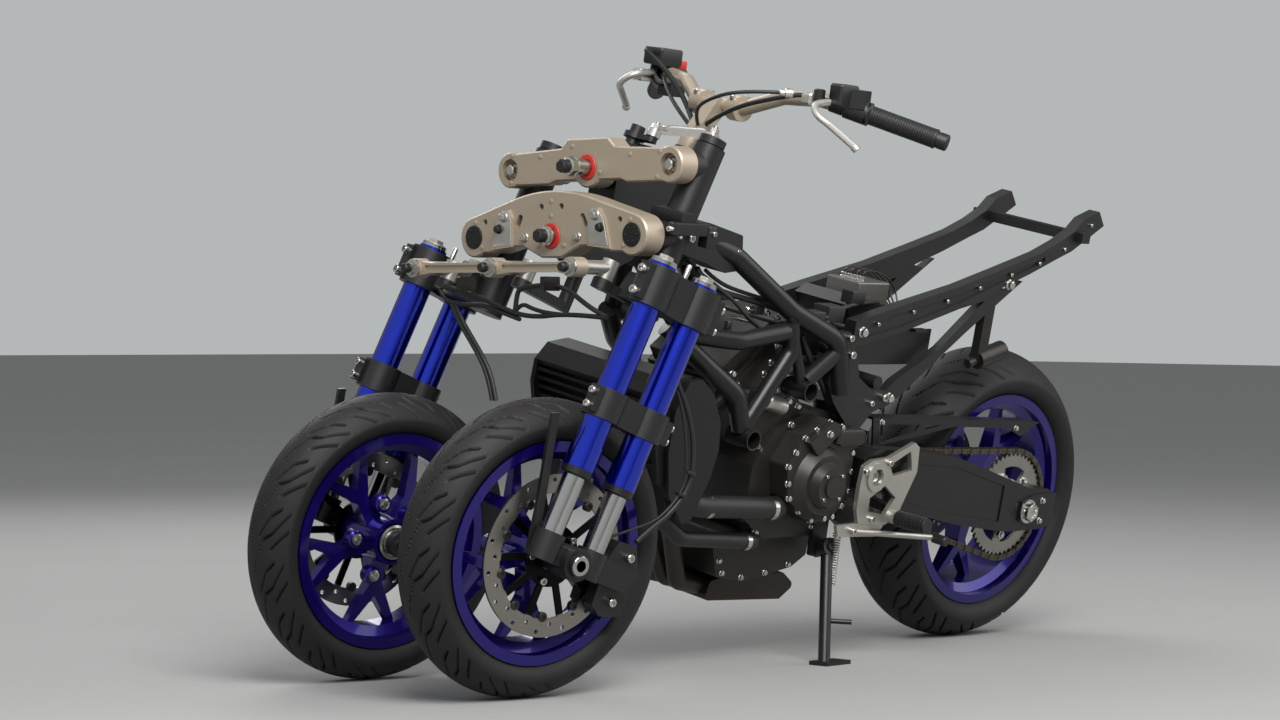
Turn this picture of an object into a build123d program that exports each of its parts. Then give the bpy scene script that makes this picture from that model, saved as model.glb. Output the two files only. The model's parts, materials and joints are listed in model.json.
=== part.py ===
"""Leaning three-wheeled motorcycle without its bodywork, parked on its side stand.

The design frame is the upright vehicle: X forward from the rear axle, Y to the rider's left, Z up
from the ground. Every piece is modelled there, and then each body is posed: the chassis leans over
on its stand, the two cross arms stay level, the side posts stay parallel to the chassis, and the
forks, handlebar and steering links carry the steering angle.
"""
import os
from math import acos, asin, atan2, cos, hypot, radians, sin, sqrt, tan

from build123d import *

# ---------------------------------------------------------------- driving dimensions (mm, degrees)
WHEELBASE = 1510.0
TRACK = 410.0
CASTER = 20.0
TRAIL = 74.0
REST_LEAN = 12.0            # the chassis leans this far to the left on its stand
REST_STEER = -8.0           # steering angle as parked, negative to the right
RUN = 0.1                   # radial clearance of a running fit, and of a seat
GAP = 5.5                   # clearance between pieces that move past each other

FRONT_TYRE_R = 274.5
FRONT_TYRE_W = 120.0
FRONT_SHOULDER_R = 234.0    # radius of the widest part of the tyre
FRONT_BEAD_R = 191.0
FRONT_RIM_W = 89.0
REAR_TYRE_R = 320.5
REAR_TYRE_W = 190.0
REAR_SHOULDER_R = 268.0
REAR_BEAD_R = 218.0
REAR_RIM_W = 140.0
TYRE_WALL = 11.0
RIM_LIP = 14.0              # rim flange height above the bead seat
RIM_WALL = 5.0
SPOKE_PAIRS = 5

UPPER_PIVOT_Z = 983.0       # lean axis of the upper arm
LOWER_PIVOT_Z = 852.0
TIE_ROD_Z = 788.0
UPPER_ARM_BEHIND = 194.0     # front face of the arm, behind the front axle
UPPER_ARM_T = 42.0
LOWER_ARM_BEHIND = 128.0
LOWER_ARM_T = 46.0
ARM_SHAFT_R = 15.0
UPPER_NOSE = 40.0           # the lean pivots' shafts stand out this far in front
LOWER_NOSE = 14.0
UPPER_END_R = 34.0          # round ends of the arms
LOWER_END_R = 38.0
UPPER_LOBE_R = 38.0         # round middle of the upper arm
ARCH_HALF, ARCH_R = 100.0, 365.0        # the lower arm's arch, which runs out straight to its round ends
ARM_BEVEL = 3.0             # along the front edge of both arms
WELL = 14.0                 # depth of the wells round the upper arm's end bolts
STEER_ARM = 108.0           # steering axis to swivel axis
SWIVEL_REACH = 84.3         # swivel axis to the tie rod's bar
TIE_ROD_T = 30.0
SWIVEL_PIN_R = 8.0
LINK_Z = 1058.0             # height of the link from the handlebar to the front shaft
LINK_ARM = 50.0
LINK_PIN_R = 5.0

FORK_SIDE = 112.0           # wheel plane to the plane of the fork tubes
FORK_FRONT = 86.0           # front tube ahead of the steering axis
FORK_REAR = -19.0
OUTER_R = 27.0
OUTER_WALL = 3.5
INNER_R = 21.0
OUTER_FROM, OUTER_TO = 151.0, 548.0     # heights along the steering axis above the front axle
YOKE_FROM, YOKE_TO = 468.0, 542.0
MID_CLAMP_FROM, MID_CLAMP_TO = 252.0, 306.0
CARRIER_TOP = 36.0
POST_FROM, POST_TO = 560.0, 800.0
POST_R = 30.0
STEM_R = 17.0
SHAFT_R = 14.0              # front steering shaft, in the head
BAR_STEM_R = 16.0

FRONT_DISC_R = 149.0
REAR_DISC_R = 141.0
DISC_T = 5.0
FRONT_DISC_SIDE = 62.0      # wheel plane to disc plane
REAR_DISC_SIDE = -96.0
DISC_BAND = 34.0
AXLE_HOLE_R = 10.5           # the front axles are hollow

BAR_R = 14.3
GRIP_R = 17.0
BAR_AXIS_BEHIND = 494.0     # handlebar's steering axis at the height of the bar, behind the front axle
BAR_Z = 1122.0

FRAME_TUBE_R = 20.0
FRAME_WALL = 3.0
RING_R = 20.0               # the frame's open cross tubes
TUBE_BEND = 55.0
CRANK = (700.0, 403.0)
BANK = 38.0                 # cylinders lean this far forward
SHOCK_TOP = (522.0, 596.0)   # x and z of the eyes of the rear shock
SHOCK_FOOT = (436.0, 306.0)
SHOCK_PIN_R = 8.0
PIVOT = (552.0, 417.0)      # swingarm pivot, x and z
OUTPUT = (612.0, 412.0)     # gearbox output shaft, x and z
CHAIN_SIDE = 114.0
CHAIN_PITCH = 15.875
REAR_TEETH, FRONT_TEETH = 47, 16
ARM_SIDE = 152.0            # centre plane of the left swingarm beam

# ---------------------------------------------------------------- worked out from the above
C, S = cos(radians(CASTER)), sin(radians(CASTER))
UPPER_ARM_FRONT_X = WHEELBASE - UPPER_ARM_BEHIND
LOWER_ARM_FRONT_X = WHEELBASE - LOWER_ARM_BEHIND
BAR_AXIS_X = WHEELBASE - BAR_AXIS_BEHIND
HEAD_X = UPPER_ARM_FRONT_X - UPPER_ARM_T         # the head is drawn from the back of the upper arm


def crown_r(width, height):
    """Radius of an arc from its width and height."""
    return ((width / 2) ** 2 + height ** 2) / (2 * height)


FRONT_CROWN_R = crown_r(FRONT_TYRE_W, FRONT_TYRE_R - FRONT_SHOULDER_R)
REAR_CROWN_R = crown_r(REAR_TYRE_W, REAR_TYRE_R - REAR_SHOULDER_R)
HALF = TRACK / 2
FORK_OFFSET = FRONT_TYRE_R * S - TRAIL * C      # axle ahead of the steering axis
LIFT = REAR_CROWN_R * (1 - cos(radians(REST_LEAN)))


def camber_at_rest():
    """Vertical share of the steered front axle's direction."""
    d = radians(REST_STEER)
    side, up = cos(d), -S * sin(d)
    lean = radians(REST_LEAN)
    return -sin(lean) * side + cos(lean) * up


FRONT_DROP = (FRONT_TYRE_R - FRONT_CROWN_R) * sqrt(1 - camber_at_rest() ** 2) + FRONT_CROWN_R
FRONT_AXLE_Z = (FRONT_DROP - LIFT) / cos(radians(REST_LEAN))
REAR_AXLE = Vector(0, 0, REAR_TYRE_R)
FRONT_AXLE = Vector(WHEELBASE, HALF, FRONT_AXLE_Z)
UP = Vector(-S, 0, C)                            # along every steering axis
AHEAD = Vector(C, 0, S)
STEER_POINT = FRONT_AXLE - AHEAD * FORK_OFFSET   # on the left steering axis
FORK = Plane(origin=FRONT_AXLE, x_dir=AHEAD, z_dir=UP)
STEER_X = -FORK_OFFSET                           # the steering axis in FORK's x


def axis_x(z):
    """x of the steering axes at height z."""
    return STEER_POINT.X - (z - STEER_POINT.Z) * S / C


SWIVEL_X = axis_x(TIE_ROD_Z) + STEER_ARM / C
PIN_X = SWIVEL_X + SWIVEL_REACH


# ---------------------------------------------------------------- helpers
def rod(a, b, r):
    a, b = Vector(a), Vector(b)
    return Solid.make_cylinder(r, (b - a).length, Plane(origin=a, z_dir=b - a))


def ring(a, b, r, hole):
    return rod(a, b, r) - rod(a, b, hole)


def cone(a, b, r0, r1):
    a, b = Vector(a), Vector(b)
    return Solid.make_cone(r0, r1, (b - a).length, Plane(origin=a, z_dir=b - a))


def pipe(points, radius, bend, wall=0.0):
    """A round tube along straight runs joined by arcs; hollow where wall is given."""
    points = [Vector(p) for p in points]
    if len(points) == 2:
        path = Edge.make_line(*points)
    else:
        path = FilletPolyline(*points, radius=bend)
    at = Plane(origin=path @ 0, z_dir=path % 0)
    face = Circle(radius) if not wall else Circle(radius) - Circle(radius - wall)
    return sweep(at * face, path=path)


def side_plate(outline, y0, y1, corner=0.0):
    """An outline in x and z, as thick as y0 to y1."""
    face = make_face(Plane.XZ.offset(-y0) * Polyline(*outline, close=True))
    if corner:
        face = fillet(face.vertices(), corner)
    return extrude(face, amount=y1 - y0, dir=(0, 1, 0))


def front_plate(outline, x0, x1, corner=0.0):
    """An outline in y and z, as thick as x0 to x1."""
    face = make_face(Plane.YZ.offset(x0) * Polyline(*outline, close=True))
    if corner:
        face = fillet(face.vertices(), corner)
    return extrude(face, amount=x1 - x0, dir=(1, 0, 0))


def block(x0, x1, y0, y1, z0, z1, edge=0.0):
    b = Pos((x0 + x1) / 2, (y0 + y1) / 2, (z0 + z1) / 2) * Box(x1 - x0, y1 - y0, z1 - z0)
    return fillet(b.edges(), edge) if edge else b


def both(shape):
    """The shape and its mirror image on the other side."""
    return shape + mirror(shape, about=Plane.XZ)


def mirrored(shape):
    return mirror(shape, about=Plane.XZ)


def spun(outline, centre, side=1):
    """A closed outline of (y, r) pairs turned about the wheel's axle."""
    face = make_face(Plane(origin=centre, x_dir=(0, 1, 0), z_dir=(1, 0, 0)) * outline)
    return revolve(face, Axis(centre, (0, 1, 0)))


LEANED = Location((0, 0, LIFT)) * Location((0, 0, 0), (1, 0, 0), -REST_LEAN)
nodes = {}          # node name -> (solid in the design frame, body)


def add(name, shape, body):
    nodes[name] = (shape, body)


def trim(name, *others):
    """Cut one piece back to where the others that it is fixed to begin."""
    shape, body = nodes[name]
    for other in others:
        shape = shape - nodes[other][0]
    nodes[name] = (shape, body)


# ---------------------------------------------------------------- wheels
def tyre(centre, radius, width, shoulder, bead, rim_w):
    """Hollow tyre: a crown arc, and sidewalls that bow out from the flanges."""
    lip = bead + RIM_LIP + 1

    def outline(tread, half, side, foot, foot_w, low):
        bow_w, bow_r = foot_w + (half - foot_w) * 0.7, low + (side - low) * 0.4
        return make_face([
            Line((-foot_w, foot), (-foot_w, low)), ThreePointArc((-foot_w, low), (-bow_w, bow_r), (-half, side)),
            ThreePointArc((-half, side), (0, tread), (half, side)),
            ThreePointArc((half, side), (bow_w, bow_r), (foot_w, low)), Line((foot_w, low), (foot_w, foot)),
            Line((foot_w, foot), (-foot_w, foot))])

    at = Plane(origin=centre, x_dir=(0, 1, 0), z_dir=(1, 0, 0))
    outer = outline(radius, width / 2, shoulder, bead + RUN, rim_w / 2 - RUN, lip)
    inner = outline(radius - TYRE_WALL, width / 2 - TYRE_WALL, shoulder, bead - 1, rim_w / 2 - TYRE_WALL, lip)
    return revolve(at * (outer - inner), Axis(tuple(centre), (0, 1, 0)))


def rim(centre, bead, width, hub_r, hub_from, hub_to, bore, spoke_t):
    """Cast wheel: a barrel with two flanges, a hub and forked spokes that grow thinner outward."""
    w, lip = width / 2, bead + RIM_LIP
    well = bead - 18
    outline = Polyline((-w - 6, lip), (-w, lip), (-w, bead), (-w + 16, bead), (-w + 26, well), (w - 26, well),
                       (w - 16, bead), (w, bead), (w, lip), (w + 6, lip), (w + 6, bead - RIM_WALL),
                       (w - 14, bead - RIM_WALL), (w - 24, well - RIM_WALL), (-w + 24, well - RIM_WALL),
                       (-w + 14, bead - RIM_WALL), (-w - 6, bead - RIM_WALL), close=True)
    reach = well - RIM_WALL + 2
    fork, spread = hub_r + (reach - hub_r) * 0.34, reach * 0.3
    spokes = None
    for i in range(SPOKE_PAIRS):
        y_shape = side_plate([(hub_r - 8, -18), (fork, -13), (reach, -spread - 7), (reach, -spread + 8),
                              (fork + 26, 0), (reach, spread - 8), (reach, spread + 7), (fork, 13),
                              (hub_r - 8, 18)], -spoke_t, spoke_t)
        arm = Location(tuple(centre), (0, i * 360 / SPOKE_PAIRS + 18, 0)) * y_shape
        spokes = arm if spokes is None else spokes + arm
    taper = spun(Polyline((-spoke_t, hub_r - 9), (-spoke_t * 0.45, reach), (spoke_t * 0.45, reach),
                          (spoke_t, hub_r - 9), close=True), centre)
    hub = rod(centre + Vector(0, hub_from, 0), centre + Vector(0, hub_to, 0), hub_r)
    wheel = spun(outline, centre) + (spokes & taper) + hub
    for face, step in ((hub_from, -1), (hub_to, 1)):
        end = centre + Vector(0, face + step, 0)
        wheel = wheel - ring(end, end - Vector(0, step * 12, 0), hub_r - 7, bore + 11)
    return wheel - rod(centre + Vector(0, hub_from - 9, 0), centre + Vector(0, hub_to + 9, 0), bore)


def disc(centre, radius, y, band, hub_r, arms, holes):
    """Brake disc: a drilled band, and a carrier whose arms reach it."""
    inner = radius - band
    c = Vector(centre.X, centre.Y + y, centre.Z)
    half = Vector(0, DISC_T / 2, 0)
    plate = ring(c - half, c + half, radius, inner)
    drill = None
    for i in range(holes):
        a = radians(i * 360 / holes)
        p = c + Vector(cos(a), 0, sin(a)) * (radius - (10 if i % 2 else band - 11))
        one = rod(p - half * 2, p + half * 2, 4)
        drill = one if drill is None else drill + one
    carrier = ring(c - half, c + half, hub_r + 13, hub_r - 17)
    for i in range(arms):
        carrier = carrier + Location(tuple(c), (0, i * 360 / arms, 0)) * Pos((hub_r + inner) / 2 + 2, 0, 0) * \
            Box(inner - hub_r + 4, DISC_T, 13)
    return (plate - drill) + carrier


FRONT_HUB_R, FRONT_BORE = 44.0, 16.0
REAR_HUB_R, REAR_BORE = 58.0, 16.0
FRONT_HUB_IN = -54.0                                    # inner end of the front hub
FRONT_HUB_OUT = FRONT_DISC_SIDE - DISC_T / 2            # the disc is bolted against the outer end
REAR_HUB_IN = REAR_DISC_SIDE + DISC_T / 2
REAR_HUB_OUT = 76.0                                     # the sprocket carrier starts here


def front_wheel():
    c = FRONT_AXLE
    add_pair("tyre", tyre(c, FRONT_TYRE_R, FRONT_TYRE_W, FRONT_SHOULDER_R, FRONT_BEAD_R, FRONT_RIM_W), "wheel")
    add_pair("rim", rim(c, FRONT_BEAD_R, FRONT_RIM_W, FRONT_HUB_R, FRONT_HUB_IN, FRONT_HUB_OUT, FRONT_BORE, 17), "wheel")
    add_pair("disc", disc(c, FRONT_DISC_R, FRONT_DISC_SIDE, DISC_BAND, FRONT_HUB_R, 10, 30), "wheel")


def add_pair(name, left, body):
    """The same piece for the left and, mirrored, for the right."""
    add("left_" + name, left, "left_" + body)
    add("right_" + name, mirrored(left), "right_" + body)


def rear_wheel():
    c = REAR_AXLE
    add("rear_tyre", tyre(c, REAR_TYRE_R, REAR_TYRE_W, REAR_SHOULDER_R, REAR_BEAD_R, REAR_RIM_W), "rear_wheel")
    add("rear_rim", rim(c, REAR_BEAD_R, REAR_RIM_W, REAR_HUB_R, REAR_HUB_IN, REAR_HUB_OUT, REAR_BORE, 24), "rear_wheel")
    add("rear_disc", disc(c, REAR_DISC_R, REAR_DISC_SIDE, DISC_BAND, REAR_HUB_R, 6, 24), "rear_wheel")
    add("rear_sprocket", sprocket(c), "rear_wheel")


def pitch_r(teeth):
    return CHAIN_PITCH / (2 * sin(radians(180 / teeth)))


ROLLER_R = 5.0


def sprocket(c):
    """Toothed ring whose teeth run inside the rollers, on a carrier with five lugs."""
    tip = pitch_r(REAR_TEETH) - ROLLER_R - 0.8
    root = tip - 6
    step = 360 / REAR_TEETH
    points = []
    for i in range(REAR_TEETH):
        for r, part in ((root, -0.36), (tip, -0.16), (tip, 0.16), (root, 0.36)):
            a = radians((i + part) * step)
            points.append((c.X + r * cos(a), c.Z + r * sin(a)))
    y, t = CHAIN_SIDE, 3.4
    axis_to = Vector(0, y - t, 0)
    body = side_plate(points, y - t, y + t) - rod(c + Vector(0, y - 9, 0), c + Vector(0, y + 9, 0), 84)
    carrier = ring(c + Vector(0, REAR_HUB_OUT, 0), c + axis_to, 56, REAR_BORE) + \
        ring(c + axis_to, c + Vector(0, y + t, 0), 50, 34)
    for i in range(5):
        lug = Pos(68, y, 0) * Box(40, 2 * t, 26)
        carrier = carrier + Location(tuple(c), (0, i * 72 + 10, 0)) * lug
        body = body + Location(tuple(c), (0, i * 72 + 10, 0)) * Pos(84, y, 0) * Box(14, 2 * t, 30)
    return body + carrier


def at_fork(x, y, z):
    """A point in the fork's own frame: x ahead, y outboard, z up along the steering axis."""
    return FORK.from_local_coords(Vector(x, y, z))


def fork():
    tubes = [STEER_X + FORK_FRONT, STEER_X + FORK_REAR]
    outer, inner = None, None
    for x in tubes:
        tube = ring(at_fork(x, FORK_SIDE, OUTER_FROM), at_fork(x, FORK_SIDE, OUTER_TO), OUTER_R, INNER_R + RUN) + \
            ring(at_fork(x, FORK_SIDE, OUTER_FROM + 6), at_fork(x, FORK_SIDE, OUTER_FROM + 52), OUTER_R + 2, INNER_R + 2)
        leg = rod(at_fork(x, FORK_SIDE, CARRIER_TOP), at_fork(x, FORK_SIDE, OUTER_TO), INNER_R)
        leg = leg + rod(at_fork(x, FORK_SIDE, OUTER_TO), at_fork(x, FORK_SIDE, OUTER_TO + 7), OUTER_R - 3)
        outer = tube if outer is None else outer + tube
        inner = leg if inner is None else inner + leg
    add_pair("fork_tubes", outer, "fork")
    add_pair("stanchions", inner, "fork")
    add_pair("yoke", yoke(tubes), "fork")
    add_pair("axle_carrier", axle_carrier(tubes), "fork")


def fork_plate(outline, y0, y1):
    """An outline in the fork's x and z, as thick as y0 to y1."""
    face = make_face(Plane.XZ.offset(-y0) * Polyline(*outline, close=True))
    return FORK * extrude(face, amount=y1 - y0, dir=(0, 1, 0))


def clamp_pair(tubes, low, high, r):
    """Two barrels round the fork tubes, with a waist between them and a split ear at each end."""
    body = None
    for x, out in ((tubes[0], 1), (tubes[1], -1)):
        one = rod(at_fork(x, FORK_SIDE, low), at_fork(x, FORK_SIDE, high), r)
        one = one + FORK * Pos(x + out * (r - 2), FORK_SIDE + 12, (low + high) / 2) * Box(18, 22, high - low - 10)
        body = one if body is None else body + one
    mid = (tubes[0] + tubes[1]) / 2
    gap = tubes[0] - tubes[1]
    web = FORK * Pos(mid, FORK_SIDE, (low + high) / 2) * Box(gap, r * 1.25, high - low)
    return body + web


def bores(tubes, low, high):
    body = None
    for x in tubes:
        one = rod(at_fork(x, FORK_SIDE, low - 1), at_fork(x, FORK_SIDE, high + 1), OUTER_R + RUN)
        body = one if body is None else body + one
    return body


def yoke(tubes):
    """Top clamp with its stem and steering arm, and the clamp half way down the tubes."""
    top = clamp_pair(tubes, YOKE_FROM, YOKE_TO, 38)
    low, high = YOKE_FROM + 8, YOKE_TO - 14
    mid_z = (low + high) / 2
    arm = fork_plate([(STEER_X - 34, low), (STEER_X - 34, high), (STEER_X + 60, high), (STEER_X + 74, low)],
                     0, FORK_SIDE - 20)
    stem = rod(at_fork(STEER_X, 0, low - 8), at_fork(STEER_X, 0, POST_TO - 30), STEM_R)
    boss = rod(at_fork(STEER_X, 0, low - 8), at_fork(STEER_X, 0, POST_FROM - RUN), 35)
    top = top + arm + boss + stem
    swivel_at = Vector(SWIVEL_X, HALF, TIE_ROD_Z)
    top = top + steering_lug(swivel_at, swivel_at - UP * 33 - AHEAD * STEER_ARM)
    middle = clamp_pair(tubes, MID_CLAMP_FROM, MID_CLAMP_TO, 36)
    return (top - bores(tubes, YOKE_FROM, YOKE_TO)) + (middle - bores(tubes, MID_CLAMP_FROM, MID_CLAMP_TO))


def axle_carrier(tubes):
    """Casting at the foot of the stanchions: the axle, the caliper and the struts of the mudguard."""
    low, high = -16, CARRIER_TOP
    body = None
    for x in tubes:
        one = rod(at_fork(x, FORK_SIDE, low), at_fork(x, FORK_SIDE, high), 28)
        body = one if body is None else body + one
    mid = (tubes[0] + tubes[1]) / 2
    web = FORK * Pos(mid, FORK_SIDE, 2) * Box(tubes[0] - tubes[1], 36, 34)
    boss = rod(at_fork(0, FORK_SIDE - 24, 0), at_fork(0, FORK_SIDE + 30, 0), 30)
    body = body + web + boss - rod(at_fork(0, FORK_SIDE - 30, 0), at_fork(0, FORK_SIDE + 40, 0), FRONT_BORE)
    axle = rod(at_fork(0, FRONT_HUB_IN - 26, 0), at_fork(0, FORK_SIDE + 38, 0), FRONT_BORE - RUN)
    axle = axle + rod(at_fork(0, FORK_SIDE + 30, 0), at_fork(0, FORK_SIDE + 38, 0), 21)
    axle = axle + rod(at_fork(0, FRONT_HUB_IN - 26, 0), at_fork(0, FRONT_HUB_IN - 8, 0), 24)
    axle = axle + rod(at_fork(0, FORK_SIDE - 24, 0), at_fork(0, FRONT_DISC_SIDE + 8, 0), 25)
    axle = axle - rod(at_fork(0, FRONT_HUB_IN - 30, 0), at_fork(0, FORK_SIDE + 40, 0), AXLE_HOLE_R)
    caliper = fork_plate([(-176, -52), (-180, 30), (-150, 76), (-108, 72), (-96, 30), (-104, -52), (-130, -66)],
                         FRONT_DISC_SIDE - 33, FRONT_DISC_SIDE + 33)
    slot = rod(at_fork(0, FRONT_DISC_SIDE - DISC_T / 2 - 4, 0), at_fork(0, FRONT_DISC_SIDE + DISC_T / 2 + 4, 0),
               FRONT_DISC_R + 5)
    bridge = fork_plate([(-150, 30), (-150, -10), (-60, -14), (-30, 30), (-60, 34)], FRONT_DISC_SIDE + 22, FORK_SIDE + 4)
    for x in tubes:
        bridge = bridge - rod(at_fork(x, FORK_SIDE, 0), at_fork(x, FORK_SIDE, 80), INNER_R + RUN)
    strut = fork_plate([(62, -8), (84, -8), (100, 60), (150, 226), (136, 232), (84, 64)], FORK_SIDE - 22, FORK_SIDE - 14)
    foot = fork_plate([(40, -12), (84, -12), (84, 10), (40, 14)], FORK_SIDE - 22, FORK_SIDE - 4)
    return body + axle + (caliper - slot) + bridge + strut + foot


def cast_arm(face, z, x0, x1, rounds):
    """A level arm from its outline and its round parts, its front edge bevelled and its three pivots bored."""
    arm = extrude(face, amount=x1 - x0, dir=(1, 0, 0))
    for y, r in rounds:
        arm = arm + rod((x0, y, z), (x1, y, z), r)
    front = arm.faces().filter_by(Axis.X).sort_by(Axis.X)[-1]
    arm = chamfer(front.edges(), ARM_BEVEL)
    for y in (-HALF, 0, HALF):
        arm = arm - rod((x0 - 1, y, z), (x1 + 1, y, z), ARM_SHAFT_R + RUN)
    return arm


def upper_arm():
    """Straight cast arm on the front of the head, with a hump over its middle and wells round its end bolts."""
    z, x1, x0 = UPPER_PIVOT_Z, UPPER_ARM_FRONT_X, UPPER_ARM_FRONT_X - UPPER_ARM_T
    half = [(52, 54), (70, 37), (HALF, 30), (HALF, -30), (100, -30), (84, -24), (30, -24)]
    outline = [(y, z + dz) for y, dz in half] + [(-y, z + dz) for y, dz in reversed(half)]
    face = fillet(make_face(Plane.YZ.offset(x0) * Polyline(*outline, close=True)).vertices(), 6)
    arm = cast_arm(face, z, x0, x1, ((-HALF, UPPER_END_R), (HALF, UPPER_END_R), (0, UPPER_LOBE_R)))
    for y in (-HALF, HALF):
        arm = arm - rod((x1 - WELL, y, z), (x1 + 1, y, z), 21)
    relief = block(x0 - 1, x0 + GAP + 3, HALF - 110, HALF - 27, z - 60, z + 60)
    add("upper_arm", arm - both(relief), "upper_arm")


def lower_arm():
    """Arched cast arm below the first, with holes through it and two clamp plates on its front."""
    z, x1, x0 = LOWER_PIVOT_Z, LOWER_ARM_FRONT_X, LOWER_ARM_FRONT_X - LOWER_ARM_T
    turn = asin(ARCH_HALF / ARCH_R)
    edge = LOWER_END_R / cos(turn) + (HALF - ARCH_HALF) * tan(turn)
    arch = ThreePointArc((-ARCH_HALF, z + edge), (0, z + edge + ARCH_R * (1 - cos(turn))), (ARCH_HALF, z + edge))
    half = [(ARCH_HALF, edge), (HALF + LOWER_END_R * sin(turn), LOWER_END_R * cos(turn)), (HALF, -30), (150, -30),
            (104, -19), (74, -19), (26, -40)]
    rest = Polyline(*[(y, z + dz) for y, dz in half], *[(-y, z + dz) for y, dz in reversed(half)])
    face = make_face(Plane.YZ.offset(x0) * (arch + rest))
    arm = cast_arm(face, z, x0, x1, ((-HALF, LOWER_END_R), (HALF, LOWER_END_R)))
    for s in (-1, 1):
        for y, dz, r in ((26, 54, 6), (175, 28, 5.5)):
            arm = arm - rod((x0 - 1, s * y, z + dz), (x1 + 1, s * y, z + dz), r)
        slot = Plane.YZ.offset(x0 - 1) * Pos(s * 84, z + 28) * Rot(0, 0, 90 + s * 25) * SlotOverall(27, 12)
        arm = arm - extrude(slot, amount=x1 - x0 + 2, dir=(1, 0, 0))
        arm = arm + front_plate([(s * 99, z - 19), (s * 99, z + 34), (s * 106, z + 50), (s * 126, z + 50),
                                 (s * 142, z + 28), (s * 155, z - 25)], x1 - ARM_BEVEL, x1 + 5)
    add("lower_arm", arm, "lower_arm")


def post():
    """Side post: a tube on the steering axis that hangs from the outer ends of both arms."""
    body = rod(at_fork(STEER_X, 0, POST_FROM), at_fork(STEER_X, 0, POST_TO), POST_R)
    body = body + rod(at_fork(STEER_X, 0, POST_TO + 3), at_fork(STEER_X, 0, POST_TO + 17), POST_R - 4) + \
        rod(at_fork(STEER_X, 0, POST_TO), at_fork(STEER_X, 0, POST_TO + 3), POST_R - 8)
    for z, front, thick, tip in ((UPPER_PIVOT_Z, UPPER_ARM_FRONT_X, UPPER_ARM_T, WELL),
                                 (LOWER_PIVOT_Z, LOWER_ARM_FRONT_X, LOWER_ARM_T, 2)):
        rear = front - thick
        body = body + rod((axis_x(z), HALF, z), (rear - RUN, HALF, z), 27)
        body = body + rod((rear - RUN, HALF, z), (front - tip, HALF, z), ARM_SHAFT_R)
    body = body - rod(at_fork(STEER_X, 0, POST_FROM - 1), at_fork(STEER_X, 0, POST_TO - 25), STEM_R + RUN)
    add_pair("post", body, "post")


def tie_rod():
    """One bar of I section with three bosses, which turn on the pins of the three swivels."""
    z = TIE_ROD_Z
    x0, x1 = PIN_X - TIE_ROD_T / 2, PIN_X + TIE_ROD_T / 2
    bar = None
    for y0, y1 in ((-HALF, 0), (0, HALF)):
        piece = front_plate([(y0, z - 15), (y0 + 40, z - 9), (y1 - 40, z - 9), (y1, z - 15), (y1, z + 15),
                             (y1 - 40, z + 9), (y0 + 40, z + 9), (y0, z + 15)], x0 + 5, x1 - 5)
        for a, b in ((x0 + 4, x0 + 9), (x1 - 9, x1 - 4)):
            piece = piece - block(a, b, y0 + 26, y1 - 26, z - 5, z + 5)
        bar = piece if bar is None else bar + piece
    for y in (-HALF, 0, HALF):
        bar = bar + rod((x0, y, z), (x1, y, z), 18)
    for y in (-HALF, 0, HALF):
        bar = bar - rod((x0 - 1, y, z), (x1 + 1, y, z), SWIVEL_PIN_R + RUN)
    add("tie_rod", bar, "tie_rod")


def swivel(y):
    """Swivel on a steering arm: an upright barrel and the pin that carries the tie rod."""
    z = TIE_ROD_Z
    c = Vector(SWIVEL_X, y, z)
    shoulder = PIN_X - TIE_ROD_T / 2 - RUN
    barrel = rod(c - UP * 23, c + UP * 14, 16) + rod(c - UP * 44, c - UP * 23, SWIVEL_PIN_R)
    pin = rod(c, (shoulder, y, z), 13)
    nose = rod((shoulder, y, z), (PIN_X + TIE_ROD_T / 2 + 5, y, z), SWIVEL_PIN_R)
    return barrel + pin + nose


def steering_lug(centre, axis_point):
    """Arm from a steering axis to a swivel, bored for the swivel's stud."""
    lug = rod(centre - UP * 42, centre - UP * 24, 19)
    base = axis_point
    web = Plane(origin=(base + centre - UP * 33) / 2, x_dir=AHEAD, z_dir=UP) * Box(STEER_ARM, 26, 18)
    return lug + web - rod(centre - UP * 60, centre, SWIVEL_PIN_R + RUN)


def steering_links():
    tie_rod()
    add("left_swivel", swivel(HALF), "left_swivel")
    add("centre_swivel", swivel(0), "centre_swivel")
    add("right_swivel", swivel(-HALF), "right_swivel")
    at = Vector(SWIVEL_X, 0, TIE_ROD_Z)
    low = Vector(axis_x(TIE_ROD_Z), 0, TIE_ROD_Z)
    base = at - UP * 33 - AHEAD * STEER_ARM
    top = Vector(axis_x(LINK_Z), 0, LINK_Z)
    shaft = rod(base - UP * 9, top + UP * 8, SHAFT_R)
    add("pitman", steering_lug(at, base) + shaft + link_arm(top), "pitman")
    rear = Vector(BAR_AXIS_X + (BAR_Z - LINK_Z) * S / C, 0, LINK_Z)
    side, pin = Vector(0, LINK_ARM, 0), UP * 7
    link = rod(rear + side - pin, rear + side + pin, 13) + rod(top + side - pin, top + side + pin, 13)
    link = link + block(rear.X + 6, top.X - 6, LINK_ARM - 8, LINK_ARM + 8, LINK_Z - 1, LINK_Z + 7)
    for end in (rear, top):
        link = link - rod(end + side - pin * 2, end + side + pin * 2, LINK_PIN_R + RUN)
    add("steering_link", link, "steering_link")


def link_arm(centre):
    """Short arm from a steering shaft out to the link, with its pin."""
    side = Vector(0, LINK_ARM, 0)
    arm = Plane(origin=centre + side / 2 - UP * 13, x_dir=AHEAD, z_dir=UP) * Box(20, LINK_ARM, 10)
    end = rod(centre + side - UP * 18, centre + side - UP * 8, 11)
    pin = rod(centre + side - UP * 8, centre + side + UP * 12, LINK_PIN_R)
    return arm + end + pin + rod(centre - UP * 18, centre - UP * 8, 21)


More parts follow.
